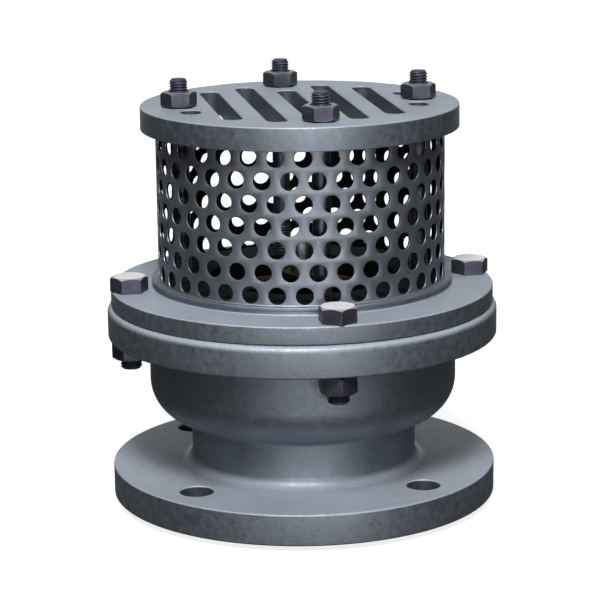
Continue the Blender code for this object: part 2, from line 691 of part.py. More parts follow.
def slot_outline(offset, start, end):
    """A slot with round ends, parallel to Y."""
    half_w = SLOT_W / 2
    points = []
    for centre, first in ((end - half_w, 0.0), (start + half_w, 180.0)):
        for index in range(SLOT_END_STEPS + 1):
            angle = math.radians(first + 180.0 * index / SLOT_END_STEPS)
            points.append((offset + half_w * math.cos(angle), centre + half_w * math.sin(angle)))
    return points


def make_end_plate():
    """Slotted end plate that clamps the basket, grooved below for the basket's rim."""
    groove_r = BASKET_R + 2 * SEAM
    groove_inner_r = BASKET_INNER_R - RIM_FIT + SEAM
    floor_z = PLATE_Z + GROOVE_DEPTH
    profile = [(0.0, PLATE_TOP_Z), (PLATE_R - PLATE_CHAMFER, PLATE_TOP_Z),
               (PLATE_R, PLATE_TOP_Z - PLATE_CHAMFER), (PLATE_R, PLATE_Z),
               (groove_r, PLATE_Z), (groove_r, floor_z), (groove_inner_r, floor_z),
               (groove_inner_r, PLATE_Z), (0.0, PLATE_Z)]
    plate = turned("end_plate", profile, GREY_PAINT, closed=False)
    middle_half = ROD_CIRCLE_R - ROD_LAND_R - SLOT_W / 2
    outlines = [slot_outline(0.0, -middle_half, middle_half)]
    for side in (-1, 1):
        for step in range(SLOTS_A_SIDE):
            offset = side * (step + 1) * SLOT_PITCH
            half = math.sqrt(SLOT_REACH_R ** 2 - offset ** 2)
            outlines.append(slot_outline(offset, -half, half))
        offset = side * SIDE_SLOT_OFFSET
        half = math.sqrt(SLOT_REACH_R ** 2 - offset ** 2)
        outlines.append(slot_outline(offset, ROD_LAND_R, half))
        outlines.append(slot_outline(offset, -half, -ROD_LAND_R))
    slots = outline_cutter("plate_slots", outlines, PLATE_Z - PLATE_T, PLATE_TOP_Z + PLATE_T)
    combine(plate, slots, "DIFFERENCE")
    drill(plate, "plate_rod_holes", rod_places(), ROD_R + BOLT_FIT, PLATE_Z - PLATE_T,
          PLATE_TOP_Z + PLATE_T, SPINDLE_STEPS, ROD_FACET_TURN)


def make_tie_rods():
    """Tie rods from the cover up through the end plate, each with its nut."""
    low_z = RIM_Z - ROD_DEPTH
    nut_z = PLATE_TOP_Z + SEAM
    high_z = nut_z + ROD_NUT_H + ROD_SPARE
    tip_r = ROD_R - ROD_CHAMFER
    profile = [(0.0, high_z), (tip_r, high_z), (ROD_R, high_z - ROD_CHAMFER),
               (ROD_R, low_z + ROD_CHAMFER), (tip_r, low_z), (0.0, low_z)]
    rod_mesh = settled_mesh(turned_cutter("rod_blank", profile, SPINDLE_STEPS, closed=False))
    nut_mesh = hex_mesh("rod_nut_mesh", ROD_NUT_AF, ROD_NUT_H, ROD_R + SEAM, ROD_FACET_TURN)
    for number, place in enumerate(rod_places(), start=1):
        rod = add_piece("tie_rod_%d" % number, rod_mesh, DARK_STEEL)
        rod.location = place
        rod.rotation_euler.z = math.radians(ROD_FACET_TURN)
        nut = add_piece("rod_nut_%d" % number, nut_mesh, DARK_STEEL)
        nut.location = (place.x, place.y, nut_z)
        nut.rotation_euler.z = math.radians(ROD_NUT_TURN)


def make_cover_bolts():
    """Hexagon bolts through cover and body flange, with a nut below each."""
    head_z = COVER_TOP_Z + SEAM
    nut_z = BODY_FLANGE_Z - SEAM - COVER_NUT_H
    shank_l = head_z - nut_z + COVER_BOLT_SPARE
    blank = add_cutter("bolt_blank", hex_mesh("bolt_head", COVER_HEX_AF, COVER_HEAD_H))
    end_r = COVER_BOLT_R - ROD_CHAMFER
    shank_profile = [(0.0, COVER_HEAD_H / 2), (COVER_BOLT_R, COVER_HEAD_H / 2),
                     (COVER_BOLT_R, ROD_CHAMFER - shank_l), (end_r, -shank_l), (0.0, -shank_l)]
    shank = turned_cutter("bolt_shank", shank_profile, SPINDLE_STEPS, closed=False)
    combine(blank, shank, "UNION")
    bolt_mesh = settled_mesh(blank)
    nut_mesh = hex_mesh("cover_nut_mesh", COVER_HEX_AF, COVER_NUT_H, COVER_BOLT_R + SEAM)
    angles = around(COVER_BOLT_COUNT, COVER_BOLT_TURN)
    for number, (angle, place) in enumerate(zip(angles, cover_bolt_places()), start=1):
        bolt = add_piece("cover_bolt_%d" % number, bolt_mesh, DARK_STEEL)
        bolt.location = (place.x, place.y, head_z)
        bolt.rotation_euler.z = math.radians(angle + HEX_HALF_TURN)
        nut = add_piece("cover_nut_%d" % number, nut_mesh, DARK_STEEL)
        nut.location = (place.x, place.y, nut_z)
        nut.rotation_euler.z = math.radians(angle + HEX_HALF_TURN)


make_body()
make_cover()
make_gasket()
make_seat_ring()
make_disc()
make_seal()
make_retainer()
make_stem()
make_disc_nut()
make_bush("upper_bush", COVER_HUB_Z, RIM_Z)
make_bush("lower_bush", SPIDER_HUB_Z, PILOT_Z)
make_guide_spider()
make_spring()
make_basket()
make_end_plate()
make_tie_rods()
make_cover_bolts()
smooth_round_pieces()
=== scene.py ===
"""Looks of a flanged lift foot valve: fine shapes and finishes around the fixed model.

Lengths are in metres and angles in degrees.  Z is the valve's axis, and Z = 0 is the sealing
face of the pipe flange on which the valve stands.
"""

import math

import bmesh
import bpy
from mathutils import Matrix, Vector


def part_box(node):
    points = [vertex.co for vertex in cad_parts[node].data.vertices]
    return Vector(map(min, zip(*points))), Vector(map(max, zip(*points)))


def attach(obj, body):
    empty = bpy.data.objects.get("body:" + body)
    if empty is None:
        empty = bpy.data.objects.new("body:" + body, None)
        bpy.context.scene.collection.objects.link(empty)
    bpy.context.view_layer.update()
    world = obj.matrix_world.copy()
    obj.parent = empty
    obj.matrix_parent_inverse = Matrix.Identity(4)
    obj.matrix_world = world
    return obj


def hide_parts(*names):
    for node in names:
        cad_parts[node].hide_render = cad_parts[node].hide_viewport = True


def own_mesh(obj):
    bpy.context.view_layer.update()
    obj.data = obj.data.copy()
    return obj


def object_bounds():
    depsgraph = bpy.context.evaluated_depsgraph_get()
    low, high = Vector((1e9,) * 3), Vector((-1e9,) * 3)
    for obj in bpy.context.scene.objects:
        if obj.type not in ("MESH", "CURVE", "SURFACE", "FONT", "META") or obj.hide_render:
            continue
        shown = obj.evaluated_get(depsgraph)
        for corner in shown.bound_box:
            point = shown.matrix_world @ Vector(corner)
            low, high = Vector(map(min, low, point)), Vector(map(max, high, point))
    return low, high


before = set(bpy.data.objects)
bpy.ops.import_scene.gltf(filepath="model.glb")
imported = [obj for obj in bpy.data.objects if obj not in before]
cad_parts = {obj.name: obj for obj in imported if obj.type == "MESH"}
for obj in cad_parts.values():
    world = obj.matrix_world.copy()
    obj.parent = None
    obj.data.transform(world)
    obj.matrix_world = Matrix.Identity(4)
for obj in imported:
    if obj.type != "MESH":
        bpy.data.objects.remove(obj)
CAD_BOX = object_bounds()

# Fineness
CASTING_STEPS = 240
SMALL_STEPS = 96
HOLE_STEPS = 48
THREAD_STEPS = 36
THREAD_RINGS_A_TURN = 8
ARM_EDGE_SEGMENTS = 4
HEX_EDGE_SEGMENTS = 3
ARC_STEP = 9.0
SHARP_ANGLE = 25.0
STRAIGHT_ANGLE = 179.0

# Sizes that the frame gives
BODY_LOW, BODY_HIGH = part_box("valve_body")
COVER_LOW, COVER_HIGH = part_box("cover_flange")
BASKET_LOW, BASKET_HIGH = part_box("strainer_basket")
PLATE_LOW, PLATE_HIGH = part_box("end_plate")
DISC_LOW, DISC_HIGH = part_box("valve_disc")
SEAL_LOW, SEAL_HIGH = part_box("disc_seal")
RETAINER_LOW, RETAINER_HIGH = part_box("seal_retainer")
STEM_LOW, STEM_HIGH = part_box("valve_stem")
SEAT_LOW, SEAT_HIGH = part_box("seat_ring")
GASKET_LOW, GASKET_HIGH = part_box("joint_gasket")
SPIDER_LOW, SPIDER_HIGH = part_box("guide_spider")
SPRING_LOW, SPRING_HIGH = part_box("return_spring")

# Clearances
SEAM = 0.0003
BUSH_FIT = 0.0003
RIM_FIT = 0.0009
BOLT_FIT = 0.0008

# Edges as cast, machined and pressed
CAST_EDGE = 0.0010
MACHINED_EDGE = 0.0004
FINE_EDGE = 0.0002
ARM_EDGE = 0.0012
HOLE_CHAMFER = 0.0005

# The places of a single hole on the axis
ON_AXIS = ((0.0, 0.0),)

# Body casting
BODY_FLANGE_R = BODY_HIGH.x
JOINT_Z = BODY_HIGH.z
BODY_FLANGE_T = 0.0172
BODY_FLANGE_ROUND = 0.0040
BODY_FLANGE_Z = JOINT_Z - BODY_FLANGE_T
BOWL_R = 0.0837
BOWL_WALL = 0.0087
BOWL_Z = 0.0453
BOWL_FLOOR_Z = BOWL_Z + BOWL_WALL
CHAMBER_R = BOWL_R - BOWL_WALL
NECK_R = 0.0615
NECK_SHOULDER = 0.0002
NECK_TOP_FILLET_R = 0.0025
NECK_FILLET_R = 0.0065
BOWL_CORNER_R = BOWL_R - NECK_R - NECK_SHOULDER
PIPE_FLANGE_R = 0.1050
FLANGE_TOP_Z = 0.0200
RAISED_FACE_R = 0.0720
RAISED_FACE_T = 0.0030
PIPE_BORE_R = 0.0500
LEDGE_R = 0.0545
LEDGE_Z = BOWL_FLOOR_Z - 0.0200
PIPE_BOLTS = 4
PIPE_BOLT_CIRCLE_R = 0.0850
PIPE_BOLT_HOLE_R = 0.0090
PIPE_BOLT_TURN = 38.6

# Cover
COVER_R = COVER_HIGH.x
COVER_Z = JOINT_Z + SEAM
COVER_TOP_Z = COVER_Z + 0.0095
RIM_Z = 0.1233
RIM_H = 0.0019
PAD_Z = RIM_Z - RIM_H
PAD_R = 0.0803
REGISTER_R = CHAMBER_R - 2 * SEAM
REGISTER_Z = COVER_LOW.z
SOCKET_R = SEAT_HIGH.x + SEAM
SOCKET_Z = SEAT_HIGH.z + SEAM
HUB_R = 0.0120
COVER_ARM_W = 0.0080
COVER_ARM_H = 0.0070
ARMS = 3
ARM_TURN = 90.0
ARM_TAPER = 0.75
ARM_ROOT = 0.0022

# Hexagons, whose end faces and corners are turned from a slightly wider blank
HEX_HALF_TURN = 30.0
HEX_CHAMFER_SLOPE = 30.0
HEX_FACE_SHARE = 0.95
HEX_BLANK_SHARE = 1.05

# Bolts of the cover joint
COVER_BOLTS = 4
COVER_BOLT_TURN = 1.5
COVER_BOLT_R = 0.0060
COVER_HEX_AF = 0.0180
COVER_HEAD_H = 0.0080
COVER_BOLT_EDGE = 0.0115
COVER_BOLT_CIRCLE_R = BODY_FLANGE_R - COVER_BOLT_EDGE
COVER_THREAD_PITCH = 0.00175

# Threads: depth as a share of the pitch, and the share of it left where one ends
THREAD_DEPTH = 0.55
THREAD_END = 0.4

# Seat, poppet, bushes and spring
SEAT_LOW_R = PIPE_BORE_R - 0.0010
SEAT_LIP_W = 0.0035
SEAT_LIP_H = 0.0013
SEAL_INNER_R = SEAT_LOW_R - 0.0027
RETAINER_BEVEL_H = 0.0010
STEM_R = 0.0060
STEM_TIP = 0.0020
DISC_NUT_AF = 0.0180
BUSH_R = 0.0090
BUSH_COLLAR_R = 0.0105
BUSH_COLLAR_T = 0.0012
COLLAR_R = 0.0100
COLLAR_T = 0.0042
COLLAR_Z = RETAINER_HIGH.z + SEAM
COVER_HUB_Z = COLLAR_Z + COLLAR_T + 2 * SEAM
DISC_RIM_H = 0.0026
DISC_BOSS_H = 0.0040
DISC_T = 0.0079
DISC_Z = DISC_LOW.z + DISC_BOSS_H
PILOT_R = 0.01545
SPRING_SEAT_R = 0.02295
SPRING_SEAT_T = 0.0030
SPIDER_RING_H = 0.0080
SPIDER_ARM_W = 0.0070
SPIDER_PILOT_H = 0.0030
SPRING_R = 0.0192
SPRING_WIRE_R = 0.00175
SPRING_LIVE_TURNS = 4
SPRING_DEAD_TURNS = 1
SPRING_DEAD_PITCH = 0.0038
SPRING_POINTS_A_TURN = 48
SPRING_SIDES = 16

# Strainer, whose HOLE_PITCH is in radians
BASKET_R = 0.0777
BASKET_T = 0.0015
BASKET_LIP_R = 0.0816
BASKET_Z = BASKET_LOW.z
BASKET_TOP_Z = BASKET_HIGH.z
FOOT_TOP_Z = BASKET_Z + 0.0019
HOLES_A_ROW = 34
HOLE_PITCH = math.tau / HOLES_A_ROW
HOLE_ROWS = 7
STRAINER_HOLE_R = 0.0046
HOLE_ROW_PITCH = 0.0119
FIRST_ROW_Z = BASKET_Z + 0.0067
FIRST_HOLE_TURN = -103.66
HOLE_ROLL_R = 0.0003
ROLL_MIDDLE = 0.3
CELL_SIDE_POINTS = 8
WELDS_A_RADIAN = 1e5
WELDS_A_METRE = 1e7

# End plate and tie rods
PLATE_R = PLATE_HIGH.x
PLATE_Z = PLATE_LOW.z
PLATE_TOP_Z = PLATE_HIGH.z
GROOVE_DEPTH = 0.0023
SLOT_W = 0.0105
SLOT_PITCH = 0.0213
SLOT_REACH_R = 0.0670
SIDE_SLOT_OFFSET = 0.0610
SLOT_END_STEPS = 24
PLATE_CORE_R = 0.0040
PLATE_CORE_LAP = 0.001
TIE_RODS = 4
ROD_CIRCLE_R = 0.0650
ROD_LAND_R = 0.0125
ROD_R = 0.0050
ROD_NUT_AF = 0.0170
ROD_NUT_TURN = 90.0
ROD_CHAMFER = 0.0012
ROD_THREAD_PITCH = 0.0015
ROD_THREAD_L = 0.0300

# Camera, fitted to the circles of the flanges in the photo, which has 600 pixels a side
CAMERA_AT = (0.0, -1.2351, 0.4009)
CAMERA_PITCH = 13.331
CAMERA_YAW = -0.049
CAMERA_ROLL = -0.712
CAMERA_TURN = -9.5
CAMERA_SIDE = Matrix.Rotation(math.radians(CAMERA_TURN), 4, "Z")
FOCAL_PIXELS = 2323.6
PHOTO_PIXELS = 600.0
SENSOR_MM = 36.0
VIEW_RANGE = (0.01, 50.0)

# Lamps, placed as seen from the camera's side: name, place, target, width, height and watts
LAMPS = (
    ("key", (-0.10, -1.80, 2.60), (0.0, 0.0, 0.10), 0.80, 0.80, 122.0),
    ("front", (0.36, -3.24, 0.14), (0.0, 0.0, 0.08), 3.40, 0.26, 48.0),
    ("back", (0.0, 1.62, 0.06), (0.0, 0.0, 0.10), 1.20, 0.10, 2.5),
)

# Studio
AMBIENT = 0.025
BACKDROP_HALF_ANGLE = 15.0
BACKDROP_FADE = 25.0
BACKDROP_SHEEN = 0.45
CEILING_LOW = 20.0
CEILING_HIGH = 45.0
FLOOR_R = 6.0
FLOOR_SIDES = 64
FLOOR_GAP = 0.0001
FLOOR_COLOUR = (0.35, 0.35, 0.35)
FLOOR_BOUNCE = (0.06, 0.06, 0.06)
FLOOR_GLOW = (0.84, 1.0)
FLOOR_GLOW_REACH = (0.10, 0.90)

# Colours of the finishes
GREY = (0.190, 0.216, 0.250)
SHEET_GREY = (0.205, 0.225, 0.258)
DISC_GREY = (0.060, 0.065, 0.070)
BLACKENED = (0.050, 0.051, 0.072)
# Pale tops of bolt heads and nuts: a painted reflection of the white surroundings
HEAD_PAINTED_SHEEN = (0.720, 0.700, 0.730)
NUT_PAINTED_SHEEN = (0.220, 0.215, 0.260)
BRIGHT = (0.420, 0.430, 0.450)
# Bronze darkened well below its own colour, as painted shade for the dim inside of the valve
DARKENED_BRONZE = (0.160, 0.110, 0.058)
RUBBER_BLACK = (0.030, 0.030, 0.030)
FIBRE_BROWN = (0.140, 0.130, 0.120)

# Finishes
PAINT_SPECULAR = 0.30
PAINT_METALLIC = 0.92
PAINT_ROUGHNESS = 0.50
DISC_ROUGHNESS = 0.52
# Painted light: faces that look up are made lighter and less metallic, as if lit from above
TOP_PAINTED_LIGHT = 1.40
TOP_LIGHT_METALLIC = 0.20
# Painted shade: inner faces, nearer to the axis than a given radius, are darkened to this share of their
# colour and made dull
INSIDE_PAINTED_SHADE = 0.04
INSIDE_SHADE_BLEND = 0.0003
STEEL_SPECULAR = 0.60
STEEL_METALLIC = 0.70
STEEL_ROUGHNESS = 0.36
BRONZE_ROUGHNESS = 0.48
METAL_SPECULAR = 0.50
SOFT_SPECULAR = 0.35

# Ranges of a normal's Z over which a finish, painted top light and painted sheen change, of pointiness over
# which edges wear (and, on the cast paint, take a painted highlight), and of noise
TOP_LIGHT_LEAN = (0.15, 0.70)
SHEEN_LEAN = (0.80, 0.95)
LEVEL_LEAN = (0.985, 0.998)
UPRIGHT_LEAN = (0.02, 0.10)
PAINT_EDGE_WEAR_AND_HIGHLIGHT = (0.53, 0.62)
STEEL_EDGE = (0.54, 0.66)
NOISE_BAND = (0.35, 0.65)

# Noises: scale, detail and roughness
CAST_CLOUD = (22.0, 4.0, 0.55)
CAST_GRAIN = (900.0, 3.0, 0.55)
CAST_PITS = (260.0, 5.0, 0.65)
SHEET_CLOUD = (35.0, 3.0, 0.55)
SHEET_GRAIN = (1400.0, 2.0, 0.55)
FORGED_CLOUD = (120.0, 4.0, 0.55)
FORGED_GRAIN = (1600.0, 3.0, 0.55)
TOOL_MARKS = (2600.0, 2.0, 0.55)
TURNED_CLOUD = (70.0, 3.0, 0.55)
SOFT_CLOUD = (90.0, 3.0, 0.55)
SOFT_FLECKS = (1100.0, 4.0, 0.70)


def new_object(name, data):
    """An object in the scene with the data."""
    obj = bpy.data.objects.new(name, data)
    bpy.context.scene.collection.objects.link(obj)
    return obj


def object_from(name, bm):
    """An object in the scene with the edit mesh's faces."""
    mesh = bpy.data.meshes.new(name)
    bm.to_mesh(mesh)
    bm.free()
    return new_object(name, mesh)


def solid(name, bm):
    """An object in the scene with the edit mesh's faces, which are turned to point out."""
    bmesh.ops.recalc_face_normals(bm, faces=bm.faces)
    return object_from(name, bm)


def rounded(corners):
    """Profile points of a closed outline of (r, z, fillet) corners, each rounded by its fillet."""
    points = []
    count = len(corners)
    for index, (r, z, fillet) in enumerate(corners):
        here = Vector((r, z))
        before = Vector(corners[index - 1][:2]) - here
        after = Vector(corners[(index + 1) % count][:2]) - here
        opening = before.angle(after)
        if fillet <= 0.0 or opening > math.radians(STRAIGHT_ANGLE):
            points.append((r, z))
            continue
        reach = fillet / math.tan(opening / 2)
        start = here + before.normalized() * reach
        middle = (before.normalized() + after.normalized()).normalized()
        centre = here + middle * (fillet / math.sin(opening / 2))
        spoke = start - centre
        sweep = math.pi - opening
        if before.x * after.y - before.y * after.x > 0:
            sweep = -sweep
        steps = max(2, math.ceil(abs(math.degrees(sweep)) / ARC_STEP))
        for step in range(steps + 1):
            turned = Matrix.Rotation(sweep * step / steps, 2) @ spoke
            points.append((centre.x + turned.x, centre.y + turned.y))
    return points


def arc(centre_r, centre_z, radius, start, end):
    """Profile points along an arc, with angles from the +R direction."""
    steps = max(2, math.ceil(abs(end - start) / ARC_STEP * 2))
    points = []
    for index in range(steps + 1):
        angle = math.radians(start + (end - start) * index / steps)
        points.append((centre_r + radius * math.cos(angle), centre_z + radius * math.sin(angle)))
    return points


def lathe(name, profile, steps):
    """A ring turned from a closed profile that stays clear of the axis."""
    bm = bmesh.new()
    rings = []
    for step in range(steps):
        angle = math.tau * (step + 0.5) / steps
        rings.append([bm.verts.new((r * math.cos(angle), r * math.sin(angle), z)) for r, z in profile])
    for step, ring in enumerate(rings):
        other = rings[(step + 1) % steps]
        for index in range(len(profile)):
            bm.faces.new((ring[index - 1], ring[index], other[index], other[index - 1]))
    return solid(name, bm)


def stack(name, loops):
    """A solid through a pile of closed loops with equally many points, with flat ends."""
    bm = bmesh.new()
    rows = [[bm.verts.new(point) for point in loop] for loop in loops]
    for low, high in zip(rows, rows[1:]):
        for index in range(len(low)):
            bm.faces.new((low[index - 1], low[index], high[index], high[index - 1]))
    bm.faces.new(rows[0])
    bm.faces.new(rows[-1])
    return solid(name, bm)


def circle(radius, z, steps, centre=(0.0, 0.0)):
    """Points of a level circle."""
    return [(centre[0] + radius * math.cos(math.tau * i / steps),
             centre[1] + radius * math.sin(math.tau * i / steps), z) for i in range(steps)]


def post(name, outline, steps):
    """A solid of revolution from (radius, height) pairs, with flat ends."""
    return stack(name, [circle(r, z, steps) for r, z in outline])


def polar(radius, angle):
    """A point at a radius and plan angle."""
    turn = math.radians(angle)
    return radius * math.cos(turn), radius * math.sin(turn)


def around(count, first):
    """Evenly spaced plan angles."""
    return [first + 360.0 * index / count for index in range(count)]


def heights(node):
    """Lowest and highest Z of a node."""
    low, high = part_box(node)
    return low.z, high.z


def combine(obj, other, operation):
    """Cut or join two objects and remove the second."""
    boolean = obj.modifiers.new("boolean", "BOOLEAN")
    boolean.operation = operation
    boolean.object = other
    boolean.solver = "EXACT"
    bpy.context.view_layer.update()
    depsgraph = bpy.context.evaluated_depsgraph_get()
    mesh = bpy.data.meshes.new_from_object(obj.evaluated_get(depsgraph))
    obj.modifiers.clear()
    obj.data = mesh
    bpy.data.objects.remove(other, do_unlink=True)


def joined(name, objs):
    """One object with the meshes of several, which are removed."""
    bm = bmesh.new()
    for obj in objs:
        obj.data.transform(obj.matrix_world)
        bm.from_mesh(obj.data)
        bpy.data.objects.remove(obj, do_unlink=True)
    return object_from(name, bm)


def bore(obj, places, outline):
    """Cut an upright hole of (radius, height) pairs at each place."""
    holes = [stack("hole", [circle(r, z, HOLE_STEPS, place) for r, z in outline]) for place in places]
    combine(obj, joined("holes", holes), "DIFFERENCE")


def drill(obj, places, radius, low_z, high_z, chamfer):
    """Cut upright holes from low_z to high_z with a chamfer at each end."""
    mouth_r = radius + 2 * chamfer
    bore(obj, places, [(mouth_r, low_z - chamfer), (radius, low_z + chamfer),
                       (radius, high_z - chamfer), (mouth_r, high_z + chamfer)])


def finish(obj, node, body, slot, mat):
    """Shade the piece, give it its finish and put it in its node's place."""
    obj.data.shade_smooth()
    obj.data.set_sharp_from_angle(angle=math.radians(SHARP_ANGLE))
    obj.data.materials.clear()
    obj.data.materials.append(mat)
    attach(obj, body)
    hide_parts(node)


def add_node(owner, kind, **values):
    """A shader node in a material or the world, with some of its inputs set."""
    made = owner.node_tree.nodes.new("ShaderNode" + kind)
    for name, value in values.items():
        made.inputs[name].default_value = value
    return made


def wire(owner, source, target):
    """Join an output to an input."""
    owner.node_tree.links.new(source, target)


def calculated(owner, kind, operation, *sources):
    """A math node of one of the kinds, with its first inputs wired."""
    made = add_node(owner, kind)
    made.operation = operation
    for source, socket in zip(sources, made.inputs):
        wire(owner, source, socket)
    return made


def scalar(owner, operation, *sources):
    """The number that a math node makes of one or two others."""
    return calculated(owner, "Math", operation, *sources).outputs[0]


def part(owner, vector, axis):
    """One coordinate of a vector."""
    parts = add_node(owner, "SeparateXYZ")
    wire(owner, vector, parts.inputs[0])
    return parts.outputs[axis]


def levelled(owner, vector):
    """A vector without its height."""
    made = calculated(owner, "VectorMath", "MULTIPLY", vector)
    made.inputs[1].default_value = (1.0, 1.0, 0.0)
    return made.outputs[0]


def length(owner, vector):
    """A vector's length."""
    return calculated(owner, "VectorMath", "LENGTH", vector).outputs["Value"]


def noise(mat, where, scale, detail, roughness):
    """A noise value between 0 and 1."""
    made = add_node(mat, "TexNoise", Scale=scale, Detail=detail, Roughness=roughness)
    wire(mat, where, made.inputs["Vector"])
    return made.outputs["Fac"]


def remap(owner, value, low, high, band=NOISE_BAND):
    """A value stretched from the band to low and high, and held between them."""
    made = add_node(owner, "MapRange")
    for name, limit in zip(("From Min", "From Max", "To Min", "To Max"), (*band, low, high)):
        made.inputs[name].default_value = limit
    wire(owner, value, made.inputs["Value"])
    return made.outputs["Result"]


def mixed(mat, factor, first, second):
    """A colour between two, each a colour or another node's output."""
    made = add_node(mat, "Mix")
    made.data_type = "RGBA"
    wire(mat, factor, made.inputs["Factor"])
    for socket, colour in ((made.inputs[6], first), (made.inputs[7], second)):
        if isinstance(colour, bpy.types.NodeSocket):
            wire(mat, colour, socket)
        else:
            socket.default_value = (*colour, 1.0)
    return made.outputs[2]


def scaled(mat, colour, factor):
    """A node's colour made lighter or darker."""
    made = calculated(mat, "VectorMath", "SCALE", colour)
    made.inputs["Scale"].default_value = factor
    return made.outputs[0]


def shade(colour, factor):
    """The colour made lighter or darker."""
    return tuple(min(1.0, channel * factor) for channel in colour)


def plain_material(name, colour, metallic, specular):
    """A Principled material, and its shader."""
    mat = bpy.data.materials.new(name)
    mat.use_nodes = True
    shader = mat.node_tree.nodes["Principled BSDF"]
    shader.inputs["Base Color"].default_value = (*colour, 1.0)
    shader.inputs["Metallic"].default_value = metallic
    shader.inputs["Specular IOR Level"].default_value = specular
    mat.diffuse_color = (*colour, 1.0)
    return mat, shader


def place_of(mat):
    """The shaded point in the object's own frame."""
    return add_node(mat, "TexCoord").outputs["Object"]


def axis_distance(mat):
    """How far the shaded point is from the object's upright axis."""
    return length(mat, levelled(mat, place_of(mat)))


def turning_place(mat):
    """Radius and height of the shaded point, along which tool marks of a lathe repeat."""
    point = add_node(mat, "CombineXYZ")
    wire(mat, axis_distance(mat), point.inputs["X"])
    wire(mat, part(mat, place_of(mat), "Z"), point.inputs["Y"])
    return point.outputs[0]


def normal_z(mat):
    """1 where the surface looks straight up, 0 where it is upright and -1 where it looks down."""
    return part(mat, add_node(mat, "NewGeometry").outputs["Normal"], "Z")


def flat_share(mat):
    """1 on level faces and on upright walls, and 0 on all that lean between the two."""
    size = scalar(mat, "ABSOLUTE", normal_z(mat))
    return scalar(mat, "MAXIMUM", remap(mat, size, 0.0, 1.0, LEVEL_LEAN),
                  remap(mat, size, 1.0, 0.0, UPRIGHT_LEAN))


def clouded(mat, cloud, colour, dark, light):
    """A colour that drifts between a darker and a lighter shade of itself."""
    return mixed(mat, remap(mat, cloud, 0.0, 1.0), shade(colour, dark), shade(colour, light))


def flecked(mat, base, value, most, fleck):
    """The base with up to the most of the fleck's colour, as the value goes."""
    return mixed(mat, remap(mat, value, 0.0, most), base, fleck)


def lightened_edges(mat, base, most, band, edge_colour):
    """The base with up to the most of the edge colour on edges, over a band of pointiness: wear, and on the
    cast paint also a painted highlight.
    """
    edge = add_node(mat, "NewGeometry").outputs["Pointiness"]
    return mixed(mat, remap(mat, edge, 0.0, most, band), base, edge_colour)


def varied(mat, value, middle, below, above):
    """A number that goes with the value from below its middle to above it."""
    return remap(mat, value, middle - below, middle + above)


def coloured(mat, shader, colour, roughness):
    """Wire colour and roughness to the shader."""
    wire(mat, colour, shader.inputs["Base Color"])
    wire(mat, roughness, shader.inputs["Roughness"])


def shaded_inside(mat, shader, colour, roughness, radius):
    """Wire colour and roughness to the shader, with the colour darkened and dulled inside the radius as
    painted shade.
    """
    # Painted shade for the dim inside of the valve
    inside = remap(mat, axis_distance(mat), 1.0, 0.0, (radius - INSIDE_SHADE_BLEND, radius))
    painted_shade = scaled(mat, colour, INSIDE_PAINTED_SHADE)
    coloured(mat, shader, mixed(mat, inside, colour, painted_shade), scalar(mat, "MAXIMUM", inside, roughness))


def bumped(mat, shader, heights_and_depths):
    """Fine relief from (value, depth in metres) pairs."""
    normal = None
    for value, depth in heights_and_depths:
        made = add_node(mat, "Bump", Strength=1.0, Distance=depth)
        wire(mat, value, made.inputs["Height"])
        if normal is not None:
            wire(mat, normal, made.inputs["Normal"])
        normal = made.outputs["Normal"]
    wire(mat, normal, shader.inputs["Normal"])


def cast_paint(name, colour, roughness, inner_r=0.0):
    """Satin paint over a sand casting, darkened nearer to the axis than inner_r as painted shade, and
    lightened on tops as painted light.
    """
    mat, shader = plain_material(name, colour, PAINT_METALLIC, PAINT_SPECULAR)
    where = place_of(mat)
    cloud = noise(mat, where, *CAST_CLOUD)
    grain = noise(mat, where, *CAST_GRAIN)
    pits = noise(mat, where, *CAST_PITS)
    base = clouded(mat, cloud, colour, dark=0.90, light=1.08)
    base = flecked(mat, base, grain, most=0.22, fleck=shade(colour, 1.6))
    # Lighter rounded edges: partly paint wear, partly a painted highlight where bevels catch the light
    worn_and_highlit = lightened_edges(mat, base, most=0.55, band=PAINT_EDGE_WEAR_AND_HIGHLIGHT, edge_colour=shade(colour, 1.9))
    base = mixed(mat, flat_share(mat), worn_and_highlit, base)
    # Painted light: the more a face looks up, the lighter and less metallic it is made, as if lit from
    # above
    upward = remap(mat, normal_z(mat), 0.0, 1.0, TOP_LIGHT_LEAN)
    base = mixed(mat, upward, base, scaled(mat, base, TOP_PAINTED_LIGHT))
    metallic = remap(mat, upward, PAINT_METALLIC, TOP_LIGHT_METALLIC, (0.0, 1.0))
    wire(mat, metallic, shader.inputs["Metallic"])
    shaded_inside(mat, shader, base, varied(mat, pits, roughness, below=0.07, above=0.08), inner_r)
    bumped(mat, shader, [(pits, 0.00012), (grain, 0.00003)])
    return mat


def sheet_paint(name, colour, roughness, inner_r):
    """Thin paint over punched sheet, darkened nearer to the axis than inner_r as painted shade."""
    mat, shader = plain_material(name, colour, PAINT_METALLIC, PAINT_SPECULAR)
    where = place_of(mat)
    cloud = noise(mat, where, *SHEET_CLOUD)
    grain = noise(mat, where, *SHEET_GRAIN)
    base = clouded(mat, cloud, colour, dark=0.92, light=1.08)
    base = flecked(mat, base, grain, most=0.12, fleck=shade(colour, 1.7))
    shaded_inside(mat, shader, base, varied(mat, cloud, roughness, below=0.05, above=0.06), inner_r)
    bumped(mat, shader, [(cloud, 0.00010), (grain, 0.00002)])
    return mat


